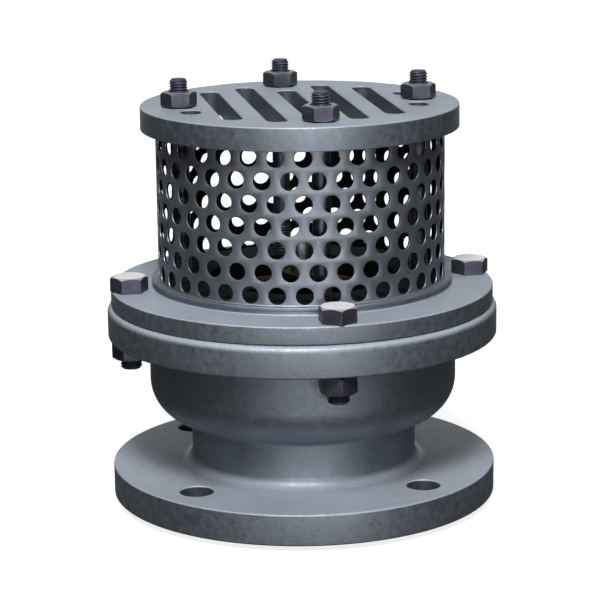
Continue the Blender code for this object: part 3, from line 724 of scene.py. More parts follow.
def forged_steel(name, top_sheen=None):
    """Blackened forged fasteners, a little rubbed, with top faces in the given pale colour as a painted
    reflection, if one is given.
    """
    mat, shader = plain_material(name, BLACKENED, STEEL_METALLIC, STEEL_SPECULAR)
    where = place_of(mat)
    cloud = noise(mat, where, *FORGED_CLOUD)
    grain = noise(mat, where, *FORGED_GRAIN)
    base = clouded(mat, cloud, BLACKENED, dark=0.75, light=1.35)
    base = lightened_edges(mat, base, most=0.5, band=STEEL_EDGE, edge_colour=shade(BLACKENED, 3.0))
    if top_sheen:
        # Painted reflection: faces that look up take the pale sheen colour and lose their metal
        upward = remap(mat, normal_z(mat), 0.0, 1.0, SHEEN_LEAN)
        base = mixed(mat, upward, base, clouded(mat, cloud, top_sheen, dark=0.85, light=1.0))
        metallic = remap(mat, upward, STEEL_METALLIC, 0.0, (0.0, 1.0))
        wire(mat, metallic, shader.inputs["Metallic"])
    coloured(mat, shader, base, varied(mat, grain, STEEL_ROUGHNESS, below=0.06, above=0.10))
    bumped(mat, shader, [(cloud, 0.00005), (grain, 0.00002)])
    return mat


def turned_metal(name, colour, roughness):
    """Machined metal with the fine rings that a lathe leaves."""
    mat, shader = plain_material(name, colour, 1.0, METAL_SPECULAR)
    marks = noise(mat, turning_place(mat), *TOOL_MARKS)
    cloud = noise(mat, place_of(mat), *TURNED_CLOUD)
    base = clouded(mat, cloud, colour, dark=0.85, light=1.1)
    base = flecked(mat, base, marks, most=0.3, fleck=shade(colour, 0.7))
    coloured(mat, shader, base, varied(mat, marks, roughness, below=0.06, above=0.10))
    bumped(mat, shader, [(marks, 0.00002)])
    return mat


def soft_sheet(name, colour, roughness, strength, depth):
    """Rubber or pressed fibre: dull, with pale flecks of the given strength and depth."""
    mat, shader = plain_material(name, colour, 0.0, SOFT_SPECULAR)
    where = place_of(mat)
    cloud = noise(mat, where, *SOFT_CLOUD)
    flecks = noise(mat, where, *SOFT_FLECKS)
    base = clouded(mat, cloud, colour, dark=0.85, light=1.15)
    base = flecked(mat, base, flecks, most=strength, fleck=shade(colour, 3.5))
    coloured(mat, shader, base, varied(mat, flecks, roughness, below=0.08, above=0.08))
    bumped(mat, shader, [(flecks, depth)])
    return mat


CASTING = cast_paint("casting paint", GREY, PAINT_ROUGHNESS)
COVER_PAINT = cast_paint("cover paint", GREY, PAINT_ROUGHNESS, BASKET_R - BASKET_T)
DISC_PAINT = cast_paint("disc paint", DISC_GREY, DISC_ROUGHNESS)
SHEET = sheet_paint("sheet paint", SHEET_GREY, PAINT_ROUGHNESS, BASKET_R - HOLE_ROLL_R)
DARK_STEEL = forged_steel("dark steel")
BOLT_STEEL = forged_steel("bolt steel", HEAD_PAINTED_SHEEN)
NUT_STEEL = forged_steel("nut steel", NUT_PAINTED_SHEEN)
BRIGHT_STEEL = turned_metal("bright steel", BRIGHT, STEEL_ROUGHNESS)
BRONZE = turned_metal("bronze", DARKENED_BRONZE, BRONZE_ROUGHNESS)
RUBBER = soft_sheet("rubber", RUBBER_BLACK, roughness=0.75, strength=0.10, depth=0.00002)
FIBRE = soft_sheet("gasket fibre", FIBRE_BROWN, roughness=0.88, strength=0.25, depth=0.00005)


def add_arms(obj, width, low_z, height):
    """Join the guide arms, with rounded edges, to the object's hub and ring."""
    inner_r = BUSH_R + CAST_EDGE
    outer_r = PIPE_BORE_R + ARM_ROOT
    middle_r = (inner_r + outer_r) / 2
    arms = []
    for angle in around(ARMS, ARM_TURN):
        bm = bmesh.new()
        size = Matrix.Diagonal((outer_r - inner_r, width, height, 1.0))
        middle = Matrix.Translation((middle_r, 0.0, low_z + height / 2))
        bmesh.ops.create_cube(bm, size=1.0, matrix=middle @ size)
        for vert in bm.verts:
            if vert.co.x < middle_r:
                vert.co.y *= ARM_TAPER
        bmesh.ops.bevel(bm, geom=bm.edges[:], offset=ARM_EDGE, segments=ARM_EDGE_SEGMENTS,
                        affect="EDGES", profile=0.5)
        bmesh.ops.transform(bm, matrix=Matrix.Rotation(math.radians(angle), 4, "Z"), verts=bm.verts)
        arms.append(solid("arm", bm))
    combine(obj, joined("arms", arms), "UNION")


def make_body():
    """Hollow casting with both flanges, a round bowl and filleted neck."""
    bowl_centre = (BOWL_R - BOWL_CORNER_R, BOWL_Z + BOWL_CORNER_R)
    fillet_r = NECK_R + NECK_TOP_FILLET_R
    reach = BOWL_CORNER_R + NECK_TOP_FILLET_R
    fillet_z = bowl_centre[1] - math.sqrt(reach ** 2 - (fillet_r - bowl_centre[0]) ** 2)
    lean = math.degrees(math.asin((fillet_r - bowl_centre[0]) / reach))
    recess_r = GASKET_HIGH.x + SEAM
    recess_z = GASKET_LOW.z - SEAM
    outline = rounded([
        (CHAMBER_R, recess_z, FINE_EDGE),
        (recess_r, recess_z, FINE_EDGE),
        (recess_r, JOINT_Z, FINE_EDGE),
        (BODY_FLANGE_R, JOINT_Z, BODY_FLANGE_ROUND),
        (BODY_FLANGE_R, BODY_FLANGE_Z, CAST_EDGE),
        (BOWL_R, BODY_FLANGE_Z, MACHINED_EDGE),
        (BOWL_R, bowl_centre[1], 0.0),
    ])
    outer = outline[:-1]
    outer += arc(*bowl_centre, BOWL_CORNER_R, 0.0, lean - 90.0)
    outer += arc(fillet_r, fillet_z, NECK_TOP_FILLET_R, 90.0 + lean, 180.0)
    outer += arc(NECK_R + NECK_FILLET_R, FLANGE_TOP_Z + NECK_FILLET_R, NECK_FILLET_R, 180.0, 270.0)
    lower = rounded([
        (NECK_R + NECK_FILLET_R, FLANGE_TOP_Z, 0.0),
        (PIPE_FLANGE_R, FLANGE_TOP_Z, CAST_EDGE),
        (PIPE_FLANGE_R, RAISED_FACE_T, CAST_EDGE),
        (RAISED_FACE_R, RAISED_FACE_T, MACHINED_EDGE),
        (RAISED_FACE_R, BODY_LOW.z, MACHINED_EDGE),
        (PIPE_BORE_R, BODY_LOW.z, MACHINED_EDGE),
        (PIPE_BORE_R, LEDGE_Z, FINE_EDGE),
        (LEDGE_R, LEDGE_Z, FINE_EDGE),
        (LEDGE_R, BOWL_FLOOR_Z, CAST_EDGE),
        (CHAMBER_R, BOWL_FLOOR_Z, BOWL_CORNER_R - BOWL_WALL),
        (CHAMBER_R, bowl_centre[1] + BOWL_CORNER_R, 0.0),
    ])
    body = lathe("body_casting", outer + lower[1:], CASTING_STEPS)
    pipe_bolts = [polar(PIPE_BOLT_CIRCLE_R, a) for a in around(PIPE_BOLTS, PIPE_BOLT_TURN)]
    drill(body, pipe_bolts, PIPE_BOLT_HOLE_R, RAISED_FACE_T, FLANGE_TOP_Z, HOLE_CHAMFER)
    drill(body, cover_bolt_places(), COVER_BOLT_R + BOLT_FIT, BODY_FLANGE_Z, JOINT_Z, FINE_EDGE)
    finish(body, "valve_body", "casing", "grey_paint", CASTING)


def cover_bolt_places():
    """Plan places of the bolts that hold the cover."""
    return [polar(COVER_BOLT_CIRCLE_R, a) for a in around(COVER_BOLTS, COVER_BOLT_TURN)]


def rod_places():
    """Plan places of the tie rods."""
    return [polar(ROD_CIRCLE_R, a) for a in around(TIE_RODS, 0.0)]


def make_cover():
    """Cover flange with the strainer's pad, the seat's socket and the guide hub."""
    rim_r = BASKET_R - BASKET_T - RIM_FIT
    cover = lathe("cover_casting", rounded([
        (PIPE_BORE_R, RIM_Z, CAST_EDGE),
        (rim_r, RIM_Z, MACHINED_EDGE),
        (rim_r, PAD_Z, FINE_EDGE),
        (PAD_R, PAD_Z, MACHINED_EDGE),
        (PAD_R, COVER_TOP_Z, CAST_EDGE),
        (COVER_R, COVER_TOP_Z, CAST_EDGE),
        (COVER_R, COVER_Z, CAST_EDGE / 2),
        (REGISTER_R, COVER_Z, FINE_EDGE),
        (REGISTER_R, REGISTER_Z, MACHINED_EDGE),
        (SOCKET_R, REGISTER_Z, MACHINED_EDGE),
        (SOCKET_R, SOCKET_Z, FINE_EDGE),
        (PIPE_BORE_R, SOCKET_Z, MACHINED_EDGE),
    ]), CASTING_STEPS)
    hub = post("hub", [(HUB_R - CAST_EDGE, COVER_HUB_Z), (HUB_R, COVER_HUB_Z + CAST_EDGE),
                       (HUB_R, RIM_Z - CAST_EDGE), (HUB_R - CAST_EDGE, RIM_Z)], SMALL_STEPS)
    combine(cover, hub, "UNION")
    add_arms(cover, COVER_ARM_W, (SEAT_HIGH.z + RIM_Z - COVER_ARM_H) / 2, COVER_ARM_H)
    drill(cover, ON_AXIS, BUSH_R + SEAM, COVER_HUB_Z, RIM_Z, FINE_EDGE)
    drill(cover, cover_bolt_places(), COVER_BOLT_R + BOLT_FIT, COVER_Z, COVER_TOP_Z, FINE_EDGE)
    socket_r = ROD_R + SEAM
    bore(cover, rod_places(), [(socket_r, heights("tie_rod_1")[0] - SEAM),
                               (socket_r, RIM_Z - HOLE_CHAMFER),
                               (socket_r + 2 * HOLE_CHAMFER, RIM_Z + HOLE_CHAMFER)])
    finish(cover, "cover_flange", "casing", "grey_paint", COVER_PAINT)


def ring(node, name, body, slot, mat, corners, steps=CASTING_STEPS):
    """A turned ring in its node's place."""
    finish(lathe(name, rounded(corners), steps), node, body, slot, mat)


def make_seat_and_gasket():
    """Bronze seat with its lip, and the fibre gasket in the joint."""
    lip_r = SEAT_LOW_R + SEAT_LIP_W
    ring("seat_ring", "seat", "casing", "bronze", BRONZE, [
        (SEAT_LOW_R, SEAT_HIGH.z, MACHINED_EDGE),
        (SEAT_HIGH.x, SEAT_HIGH.z, MACHINED_EDGE),
        (SEAT_HIGH.x, SEAT_LOW.z + SEAT_LIP_H, FINE_EDGE),
        (lip_r, SEAT_LOW.z, FINE_EDGE),
        (SEAT_LOW_R, SEAT_LOW.z, FINE_EDGE)])
    ring("joint_gasket", "gasket", "casing", "gasket_fibre", FIBRE, [
        (CHAMBER_R + SEAM, GASKET_HIGH.z, FINE_EDGE),
        (GASKET_HIGH.x, GASKET_HIGH.z, FINE_EDGE),
        (GASKET_HIGH.x, GASKET_LOW.z, FINE_EDGE),
        (CHAMBER_R + SEAM, GASKET_LOW.z, FINE_EDGE)])


def make_disc():
    """Disc, rubber seal and the retainer that clamps it, which lift together."""
    bore_r = STEM_R + SEAM
    land_r = SEAL_INNER_R - SEAM
    rim_z = SEAL_LOW.z + DISC_RIM_H
    ring("valve_disc", "disc", "poppet", "disc_paint", DISC_PAINT, [
        (bore_r, DISC_HIGH.z, FINE_EDGE),
        (land_r, DISC_HIGH.z, MACHINED_EDGE),
        (land_r, SEAL_LOW.z - SEAM, FINE_EDGE),
        (SEAL_HIGH.x + SEAM, SEAL_LOW.z - SEAM, FINE_EDGE),
        (SEAL_HIGH.x + SEAM, rim_z, FINE_EDGE),
        (DISC_HIGH.x, rim_z, MACHINED_EDGE),
        (DISC_HIGH.x, DISC_Z + DISC_T / 2, CAST_EDGE),
        (SPRING_SEAT_R, DISC_Z, CAST_EDGE),
        (PILOT_R, DISC_Z, MACHINED_EDGE),
        (PILOT_R, DISC_LOW.z, CAST_EDGE),
        (bore_r, DISC_LOW.z, FINE_EDGE)])
    ring("disc_seal", "seal", "poppet", "rubber", RUBBER, [
        (SEAL_INNER_R, SEAL_HIGH.z, MACHINED_EDGE),
        (SEAL_HIGH.x, SEAL_HIGH.z, MACHINED_EDGE * 2),
        (SEAL_HIGH.x, SEAL_LOW.z, MACHINED_EDGE),
        (SEAL_INNER_R, SEAL_LOW.z, MACHINED_EDGE)])
    ring("seal_retainer", "retainer", "poppet", "bright_steel", BRIGHT_STEEL, [
        (bore_r, RETAINER_HIGH.z, FINE_EDGE),
        (SPRING_SEAT_R, RETAINER_HIGH.z, CAST_EDGE),
        (RETAINER_HIGH.x, RETAINER_LOW.z + RETAINER_BEVEL_H, FINE_EDGE),
        (RETAINER_HIGH.x, RETAINER_LOW.z, FINE_EDGE),
        (bore_r, RETAINER_LOW.z, FINE_EDGE)])


def make_stem():
    """Guide stem with its collar, and the nut that holds the disc on it."""
    low_r = STEM_R - STEM_TIP
    rim_r = COLLAR_R - MACHINED_EDGE
    collar_top_z = COLLAR_Z + COLLAR_T
    outline = [(low_r, STEM_LOW.z), (STEM_R, STEM_LOW.z + STEM_TIP), (STEM_R, COLLAR_Z - FINE_EDGE),
               (STEM_R, COLLAR_Z), (rim_r, COLLAR_Z), (COLLAR_R, COLLAR_Z + MACHINED_EDGE),
               (COLLAR_R, collar_top_z - MACHINED_EDGE), (rim_r, collar_top_z),
               (STEM_R, collar_top_z), (STEM_R, STEM_HIGH.z - STEM_TIP), (low_r, STEM_HIGH.z)]
    finish(post("stem", outline, SMALL_STEPS), "valve_stem", "poppet", "bright_steel", BRIGHT_STEEL)
    make_nut("disc_nut", "disc_lock_nut", "poppet", DISC_NUT_AF, STEM_R, DARK_STEEL)


def hexagon(name, across_flats, low_z, high_z, spin, chamfer_low=True):
    """A hexagon with a flat towards +X before the spin, and its corners turned off."""
    corner_r = across_flats / 2 / math.cos(math.radians(HEX_HALF_TURN))
    bm = bmesh.new()
    middle = Matrix.Translation((0.0, 0.0, (low_z + high_z) / 2))
    place = middle @ Matrix.Rotation(math.radians(spin), 4, "Z")
    bmesh.ops.create_cone(bm, cap_ends=True, segments=6, radius1=corner_r, radius2=corner_r,
                          depth=high_z - low_z, matrix=place)
    upright = [e for e in bm.edges if abs(e.verts[0].co.z - e.verts[1].co.z) > (high_z - low_z) / 2]
    bmesh.ops.bevel(bm, geom=upright, offset=FINE_EDGE, segments=HEX_EDGE_SEGMENTS, affect="EDGES",
                    profile=0.5)
    blank = solid(name, bm)
    face_r = across_flats / 2 * HEX_FACE_SHARE
    wide_r = corner_r * HEX_BLANK_SHARE
    rise = (wide_r - face_r) * math.tan(math.radians(HEX_CHAMFER_SLOPE))
    outline = [(wide_r, high_z - rise), (face_r, high_z)]
    if chamfer_low:
        outline = [(face_r, low_z), (wide_r, low_z + rise), *outline]
    else:
        outline = [(wide_r, low_z), *outline]
    combine(blank, post("turned", outline, SMALL_STEPS), "INTERSECT")
    return blank


def make_nut(node, name, body, across_flats, bolt_r, mat, place=(0.0, 0.0), spin=0.0):
    """A bored hexagon nut in its node's place."""
    low_z, high_z = heights(node)
    nut = hexagon(name, across_flats, low_z, high_z, spin)
    drill(nut, ON_AXIS, bolt_r + SEAM, low_z, high_z, HOLE_CHAMFER)
    nut.location = (*place, 0.0)
    finish(nut, node, body, "dark_steel", mat)


def make_bush(node, name, low_z):
    """Flanged bronze guide bush."""
    high_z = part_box(node)[1].z
    shoulder_z = high_z - BUSH_COLLAR_T
    ring(node, name, "casing", "bronze", BRONZE, [
        (STEM_R + BUSH_FIT, high_z, FINE_EDGE),
        (BUSH_COLLAR_R, high_z, FINE_EDGE),
        (BUSH_COLLAR_R, shoulder_z, FINE_EDGE),
        (BUSH_R, shoulder_z, FINE_EDGE / 2),
        (BUSH_R, low_z, FINE_EDGE),
        (STEM_R + BUSH_FIT, low_z, FINE_EDGE)], SMALL_STEPS)


def make_guide_spider():
    """Lower guide: ring, arms and cone-shaped hub with the spring's pilot."""
    pilot_z = SPIDER_HIGH.z
    spring_z = pilot_z - SPIDER_PILOT_H
    hub_z = SPIDER_LOW.z
    ring_z = LEDGE_Z + SEAM
    ring_r = LEDGE_R - SEAM
    spider = lathe("guide", rounded([
        (PIPE_BORE_R, ring_z + SPIDER_RING_H, CAST_EDGE),
        (ring_r, ring_z + SPIDER_RING_H, MACHINED_EDGE),
        (ring_r, ring_z, MACHINED_EDGE),
        (PIPE_BORE_R, ring_z, CAST_EDGE)]), CASTING_STEPS)
    hub = post("hub", [(HUB_R - CAST_EDGE, hub_z), (HUB_R, hub_z + CAST_EDGE),
                       (SPRING_SEAT_R, spring_z - SPRING_SEAT_T),
                       (SPRING_SEAT_R, spring_z - MACHINED_EDGE), (SPRING_SEAT_R - MACHINED_EDGE, spring_z),
                       (PILOT_R, spring_z), (PILOT_R, pilot_z - MACHINED_EDGE),
                       (PILOT_R - MACHINED_EDGE, pilot_z)], SMALL_STEPS)
    combine(spider, hub, "UNION")
    add_arms(spider, SPIDER_ARM_W, ring_z + SEAM, SPIDER_RING_H - 2 * SEAM)
    drill(spider, ON_AXIS, BUSH_R + SEAM, hub_z, pilot_z, FINE_EDGE)
    finish(spider, "guide_spider", "casing", "grey_paint", CASTING)


def make_spring():
    """Round-wire compression spring with closed ends."""
    low_z = SPRING_LOW.z + SPRING_WIRE_R
    high_z = SPRING_HIGH.z - SPRING_WIRE_R
    turns = SPRING_LIVE_TURNS + 2 * SPRING_DEAD_TURNS
    live_pitch = (high_z - low_z - 2 * SPRING_DEAD_TURNS * SPRING_DEAD_PITCH) / SPRING_LIVE_TURNS
    loops = []
    for index in range(turns * SPRING_POINTS_A_TURN + 1):
        turn = index / SPRING_POINTS_A_TURN
        live = min(max(turn - SPRING_DEAD_TURNS, 0.0), SPRING_LIVE_TURNS)
        z = low_z + (turn - live) * SPRING_DEAD_PITCH + live * live_pitch
        along = math.tau * turn
        loop = []
        for side in range(SPRING_SIDES):
            angle = math.tau * side / SPRING_SIDES
            r = SPRING_R + SPRING_WIRE_R * math.cos(angle)
            loop.append((r * math.cos(along), r * math.sin(along), z + SPRING_WIRE_R * math.sin(angle)))
        loops.append(loop)
    spring = stack("spring_coil", loops)
    finish(spring, "return_spring", "casing", "bright_steel", BRIGHT_STEEL)
    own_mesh(spring)


def make_basket():
    """Perforated sheet, wrapped to a cylinder, with an out-turned foot."""
    bm = bmesh.new()
    welds = {}

    def point(turn, z, depth):
        key = (round(turn * WELDS_A_RADIAN) % round(math.tau * WELDS_A_RADIAN),
               round(z * WELDS_A_METRE), round(depth * WELDS_A_METRE))
        if key not in welds:
            r = BASKET_R - depth
            welds[key] = bm.verts.new((r * math.cos(turn), r * math.sin(turn), z))
        return welds[key]

    for row in range(HOLE_ROWS):
        centre_z = FIRST_ROW_Z + row * HOLE_ROW_PITCH
        low = max(centre_z - HOLE_ROW_PITCH / 2, FOOT_TOP_Z)
        high = centre_z + HOLE_ROW_PITCH / 2
        if row == HOLE_ROWS - 1:
            high = BASKET_TOP_Z - FINE_EDGE
        for column in range(HOLES_A_ROW):
            middle = math.radians(FIRST_HOLE_TURN) + (column + (1 - row % 2) / 2) * HOLE_PITCH
            add_cell(point, bm, middle, low, centre_z, high)
    add_edges(point, bm)
    finish(solid("perforated_sheet", bm), "strainer_basket", "casing", "basket_paint", SHEET)


def cell_border(middle, low, high):
    """Points (turn, z) round a cell's rectangle, from the lower left corner anticlockwise."""
    left = middle - HOLE_PITCH / 2
    sides = CELL_SIDE_POINTS
    border = [(left + HOLE_PITCH * i / sides, low) for i in range(sides)]
    border += [(left + HOLE_PITCH, low + (high - low) * i / sides) for i in range(sides)]
    border += [(left + HOLE_PITCH - HOLE_PITCH * i / sides, high) for i in range(sides)]
    border += [(left, high - (high - low) * i / sides) for i in range(sides)]
    return border


def add_cell(point, bm, middle, low, centre_z, high):
    """One hole of the strainer with the sheet around it, through the sheet's thickness."""
    border = cell_border(middle, low, high)
    angles = [math.atan2(z - centre_z, (turn - middle) * BASKET_R) for turn, z in border]
    roll = HOLE_ROLL_R
    bulge = roll * ROLL_MIDDLE
    wall = [(roll, 0.0), (bulge, bulge), (0.0, roll), (0.0, BASKET_T - roll),
            (bulge, BASKET_T - bulge), (roll, BASKET_T)]
    loops = [[point(turn, z, 0.0) for turn, z in border]]
    for extra, depth in wall:
        radius = STRAINER_HOLE_R + extra
        loops.append([point(middle + radius * math.cos(a) / BASKET_R, centre_z + radius * math.sin(a),
                            depth) for a in angles])
    loops.append([point(turn, z, BASKET_T) for turn, z in border])
    for first, second in zip(loops, loops[1:]):
        for index in range(len(first)):
            bm.faces.new((first[index - 1], first[index], second[index], second[index - 1]))


def add_edges(point, bm):
    """The sheet's top edge and its out-turned foot, joined to the outer rows of cells."""
    lip = BASKET_LIP_R - BASKET_R
    low = BASKET_Z
    high = BASKET_TOP_Z
    edge = FINE_EDGE
    foot = [(0.0, FOOT_TOP_Z), (-edge, low + BASKET_T + edge / 2), (-2 * edge, low + BASKET_T),
            (-lip + edge, low + BASKET_T), (-lip, low + BASKET_T - edge), (-lip, low + edge),
            (-lip + edge, low), (BASKET_T - edge, low), (BASKET_T, low + edge), (BASKET_T, FOOT_TOP_Z)]
    top = [(0.0, high - edge), (edge, high), (BASKET_T - edge, high), (BASKET_T, high - edge)]
    start = math.radians(FIRST_HOLE_TURN)
    for outline in (foot, top):
        for index in range(HOLES_A_ROW * CELL_SIDE_POINTS):
            turns = [start + HOLE_PITCH * (index + k) / CELL_SIDE_POINTS for k in (0, 1)]
            for (depth, z), (other_depth, other_z) in zip(outline, outline[1:]):
                bm.faces.new([point(turns[0], z, depth), point(turns[1], z, depth),
                              point(turns[1], other_z, other_depth), point(turns[0], other_z, other_depth)])


def slot_loop(offset, start, end, half_w, z):
    """Points of a slot with round ends along Y, at one height."""
    points = []
    for centre, first in ((end, 0.0), (start, 180.0)):
        for index in range(SLOT_END_STEPS + 1):
            angle = math.radians(first + 180.0 * index / SLOT_END_STEPS)
            points.append((offset + half_w * math.cos(angle), centre + half_w * math.sin(angle), z))
    return points


def make_end_plate():
    """Slotted end plate with a groove below for the strainer's rim."""
    groove_r = BASKET_R + 2 * SEAM
    groove_inner_r = BASKET_R - BASKET_T - RIM_FIT + SEAM
    floor_z = PLATE_Z + GROOVE_DEPTH
    plate = lathe("slotted_plate", rounded([
        (PLATE_CORE_R, PLATE_TOP_Z, 0.0),
        (PLATE_R, PLATE_TOP_Z, CAST_EDGE),
        (PLATE_R, PLATE_Z, MACHINED_EDGE),
        (groove_r, PLATE_Z, FINE_EDGE),
        (groove_r, floor_z, FINE_EDGE),
        (groove_inner_r, floor_z, FINE_EDGE),
        (groove_inner_r, PLATE_Z, FINE_EDGE),
        (PLATE_CORE_R, PLATE_Z, 0.0)]), CASTING_STEPS)
    core_r = PLATE_CORE_R + PLATE_CORE_LAP
    combine(plate, post("core", [(core_r, PLATE_Z), (core_r, PLATE_TOP_Z)], HOLE_STEPS), "UNION")
    half_w = SLOT_W / 2
    middle_end = ROD_CIRCLE_R - ROD_LAND_R - SLOT_W
    slots = [(0.0, -middle_end, middle_end)]
    for offset in (SLOT_PITCH, 2 * SLOT_PITCH):
        end = math.sqrt(SLOT_REACH_R ** 2 - offset ** 2) - half_w
        slots += [(offset, -end, end), (-offset, -end, end)]
    end = math.sqrt(SLOT_REACH_R ** 2 - SIDE_SLOT_OFFSET ** 2) - half_w
    start = ROD_LAND_R + half_w
    for side in (-SIDE_SLOT_OFFSET, SIDE_SLOT_OFFSET):
        slots += [(side, start, end), (side, -end, -start)]
    chamfer = HOLE_CHAMFER
    outline = [(half_w + chamfer, PLATE_Z - chamfer), (half_w, PLATE_Z + MACHINED_EDGE),
               (half_w, PLATE_TOP_Z - chamfer), (half_w + 2 * chamfer, PLATE_TOP_Z + chamfer)]
    cutters = [stack("slot", [slot_loop(*slot, w, z) for w, z in outline]) for slot in slots]
    combine(plate, joined("slots", cutters), "DIFFERENCE")
    drill(plate, rod_places(), ROD_R + BOLT_FIT, PLATE_Z, PLATE_TOP_Z, FINE_EDGE)
    finish(plate, "end_plate", "casing", "grey_paint", CASTING)


def threaded_post(name, outline, thread_spans, pitch):
    """A round bar of (radius, height) pairs whose thread_spans carry a vee thread."""
    depth = pitch * THREAD_DEPTH
    levels = {z for r, z in outline}
    for start, end in thread_spans:
        steps = math.ceil((end - start) / pitch * THREAD_RINGS_A_TURN)
        levels.update(start + (end - start) * i / steps for i in range(steps + 1))
    loops = []
    for z in sorted(levels):
        outer = plain_radius(outline, z)
        loop = []
        for index in range(THREAD_STEPS):
            turn = index / THREAD_STEPS
            r = outer
            for start, end in thread_spans:
                if start <= z <= end:
                    phase = (z / pitch - turn) % 1.0
                    fade = min(1.0, (z - start) / pitch, (end - z) / pitch + THREAD_END)
                    r = outer - depth * abs(2.0 * phase - 1.0) * max(0.0, fade)
            loop.append((r * math.cos(math.tau * turn), r * math.sin(math.tau * turn), z))
        loops.append(loop)
    return stack(name, loops)


def plain_radius(outline, z):
    """Radius of the bar at a height, between the outline's points."""
    for (r, low), (other_r, high) in zip(outline, outline[1:]):
        if low <= z <= high:
            share = 0.0 if high == low else (z - low) / (high - low)
            return r + (other_r - r) * share
    return outline[-1][0]


def make_tie_rods():
    """Tie rods threaded at both ends, each with a chamfered nut on the end plate."""
    for number, (x, y) in enumerate(rod_places(), start=1):
        node = "tie_rod_%d" % number
        low_z, high_z = heights(node)
        outline = [(ROD_R - ROD_CHAMFER, low_z), (ROD_R, low_z + ROD_CHAMFER),
                   (ROD_R, high_z - ROD_CHAMFER), (ROD_R - ROD_CHAMFER, high_z)]
        spans = [(low_z + FINE_EDGE, low_z + ROD_THREAD_L), (high_z - ROD_THREAD_L, high_z - FINE_EDGE)]
        rod = threaded_post("rod_%d" % number, outline, spans, ROD_THREAD_PITCH)
        rod.location = (x, y, 0.0)
        finish(rod, node, "casing", "dark_steel", DARK_STEEL)
        make_nut("rod_nut_%d" % number, "plate_nut_%d" % number, "casing", ROD_NUT_AF, ROD_R,
                 NUT_STEEL, (x, y), ROD_NUT_TURN)


def make_cover_bolts():
    """Hexagon bolts and nuts of the joint between cover and body."""
    for number, angle in enumerate(around(COVER_BOLTS, COVER_BOLT_TURN), start=1):
        x, y = polar(COVER_BOLT_CIRCLE_R, angle)
        node = "cover_bolt_%d" % number
        low_z, high_z = heights(node)
        head_z = high_z - COVER_HEAD_H
        spin = angle + HEX_HALF_TURN
        head = hexagon("bolt_%d" % number, COVER_HEX_AF, head_z, high_z, spin, chamfer_low=False)
        end_r = COVER_BOLT_R - ROD_CHAMFER
        outline = [(end_r, low_z), (COVER_BOLT_R, low_z + ROD_CHAMFER),
                   (COVER_BOLT_R, head_z + COVER_HEAD_H / 2)]
        shank = threaded_post("shank", outline, [(low_z + FINE_EDGE, low_z + ROD_THREAD_L)],
                              COVER_THREAD_PITCH)
        combine(head, shank, "UNION")
        head.location = (x, y, 0.0)
        finish(head, node, "casing", "dark_steel", BOLT_STEEL)
        make_nut("cover_nut_%d" % number, "joint_nut_%d" % number, "casing", COVER_HEX_AF,
                 COVER_BOLT_R, DARK_STEEL, (x, y), spin)


def add_camera():
    """The camera at the photo's viewing angle."""
    yaw, pitch, roll = (math.radians(v) for v in (CAMERA_YAW, CAMERA_PITCH, CAMERA_ROLL))
    ahead = Vector((math.sin(yaw) * math.cos(pitch), math.cos(yaw) * math.cos(pitch), -math.sin(pitch)))
    right = ahead.cross(Vector((0.0, 0.0, 1.0))).normalized()
    up = right.cross(ahead)
    rolled_right = math.cos(roll) * right + math.sin(roll) * up
    rolled_up = -math.sin(roll) * right + math.cos(roll) * up
    axes = Matrix((rolled_right, rolled_up, -ahead)).transposed().to_4x4()
    data = bpy.data.cameras.new("camera")
    data.sensor_width = SENSOR_MM
    data.lens = FOCAL_PIXELS / PHOTO_PIXELS * SENSOR_MM
    data.clip_start, data.clip_end = VIEW_RANGE
    camera = new_object("camera", data)
    camera.matrix_world = CAMERA_SIDE @ Matrix.Translation(CAMERA_AT) @ axes
    bpy.context.scene.camera = camera


def add_lamp(name, place, target, width, height, power):
    """A soft rectangular lamp, placed as seen from the camera's side."""
    data = bpy.data.lights.new(name, "AREA")
    data.shape = "RECTANGLE"
    data.size = width
    data.size_y = height
    data.energy = power
    lamp = new_object(name, data)
    aim = (Vector(target) - Vector(place)).to_track_quat("-Z", "Y").to_matrix().to_4x4()
    lamp.matrix_world = CAMERA_SIDE @ Matrix.Translation(place) @ aim
    lamp.visible_camera = False


def behind(owner, direction):
    """How much of the white backdrop behind the valve a direction or a place sees."""
    unit = calculated(owner, "VectorMath", "NORMALIZE", levelled(owner, direction))
    ahead = calculated(owner, "VectorMath", "DOT_PRODUCT", unit.outputs[0])
    turn = math.radians(CAMERA_TURN)
    ahead.inputs[1].default_value = (-math.sin(turn), math.cos(turn), 0.0)
    band = [math.cos(math.radians(BACKDROP_HALF_ANGLE + fade)) for fade in (BACKDROP_FADE, 0.0)]
    return remap(owner, ahead.outputs["Value"], 0.0, BACKDROP_SHEEN, band)


def overhead(owner, direction):
    """1 towards the ceiling and 0 towards the horizon and below, for a direction or a place."""
    band = [math.sin(math.radians(angle)) for angle in (CEILING_LOW, CEILING_HIGH)]
    return remap(owner, part(owner, direction, "Z"), 0.0, 1.0, band)


def white_rays(owner, direction):
    """1 for camera rays, and for reflections how much of the white back or ceiling they see."""
    path = add_node(owner, "LightPath")
    white = scalar(owner, "MAXIMUM", behind(owner, direction), overhead(owner, direction))
    seen = scalar(owner, "MULTIPLY", path.outputs["Is Glossy Ray"], white)
    for kind in ("Is Camera Ray", "Is Transmission Ray"):
        seen = scalar(owner, "MAXIMUM", seen, path.outputs[kind])
    return seen


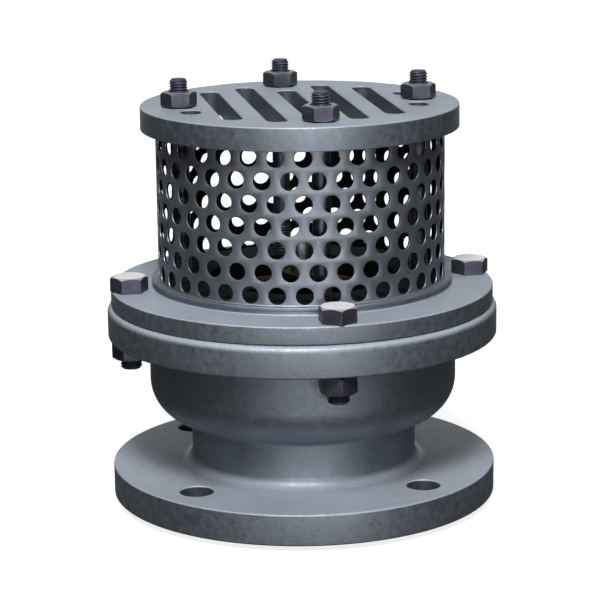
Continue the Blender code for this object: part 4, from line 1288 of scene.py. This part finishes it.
def add_world():
    """White for the camera and in reflections, dim for the light that falls on the object."""
    world = bpy.data.worlds.new("studio")
    bpy.context.scene.world = world
    world.use_nodes = True
    back = world.node_tree.nodes["Background"]
    back.inputs["Color"].default_value = (1.0, 1.0, 1.0, 1.0)
    direction = add_node(world, "TexCoord").outputs["Generated"]
    strength = remap(world, white_rays(world, direction), AMBIENT, 1.0, (0.0, 1.0))
    wire(world, strength, back.inputs["Strength"])


def add_floor():
    """A pale floor that shows white and keeps the valve's shadow."""
    bm = bmesh.new()
    bmesh.ops.create_circle(bm, cap_ends=True, segments=FLOOR_SIDES, radius=FLOOR_R)
    floor = object_from("floor", bm)
    floor.location.z = CAD_BOX[0][2] - FLOOR_GAP
    mat, shader = plain_material("floor", FLOOR_COLOUR, 0.0, 0.0)
    shader.inputs["Roughness"].default_value = 1.0
    glow = add_node(mat, "Emission")
    far = length(mat, place_of(mat))
    wire(mat, remap(mat, far, *FLOOR_GLOW, FLOOR_GLOW_REACH), glow.inputs["Strength"])
    total = add_node(mat, "AddShader")
    wire(mat, shader.outputs[0], total.inputs[0])
    wire(mat, glow.outputs[0], total.inputs[1])
    dim = add_node(mat, "BsdfDiffuse", Color=(*FLOOR_BOUNCE, 1.0))
    choice = add_node(mat, "MixShader")
    wire(mat, white_rays(mat, place_of(mat)), choice.inputs["Fac"])
    wire(mat, dim.outputs[0], choice.inputs[1])
    wire(mat, total.outputs[0], choice.inputs[2])
    wire(mat, choice.outputs[0], mat.node_tree.nodes["Material Output"].inputs["Surface"])
    floor.data.materials.append(mat)


make_body()
make_cover()
make_seat_and_gasket()
make_disc()
make_stem()
make_bush("upper_bush", "cover_bush", COVER_HUB_Z)
make_bush("lower_bush", "guide_bush", SPIDER_LOW.z)
make_guide_spider()
make_spring()
make_basket()
make_end_plate()
make_tie_rods()
make_cover_bolts()
add_camera()
for lamp in LAMPS:
    add_lamp(*lamp)
add_world()
add_floor()
bpy.context.scene.view_settings.view_transform = "Standard"
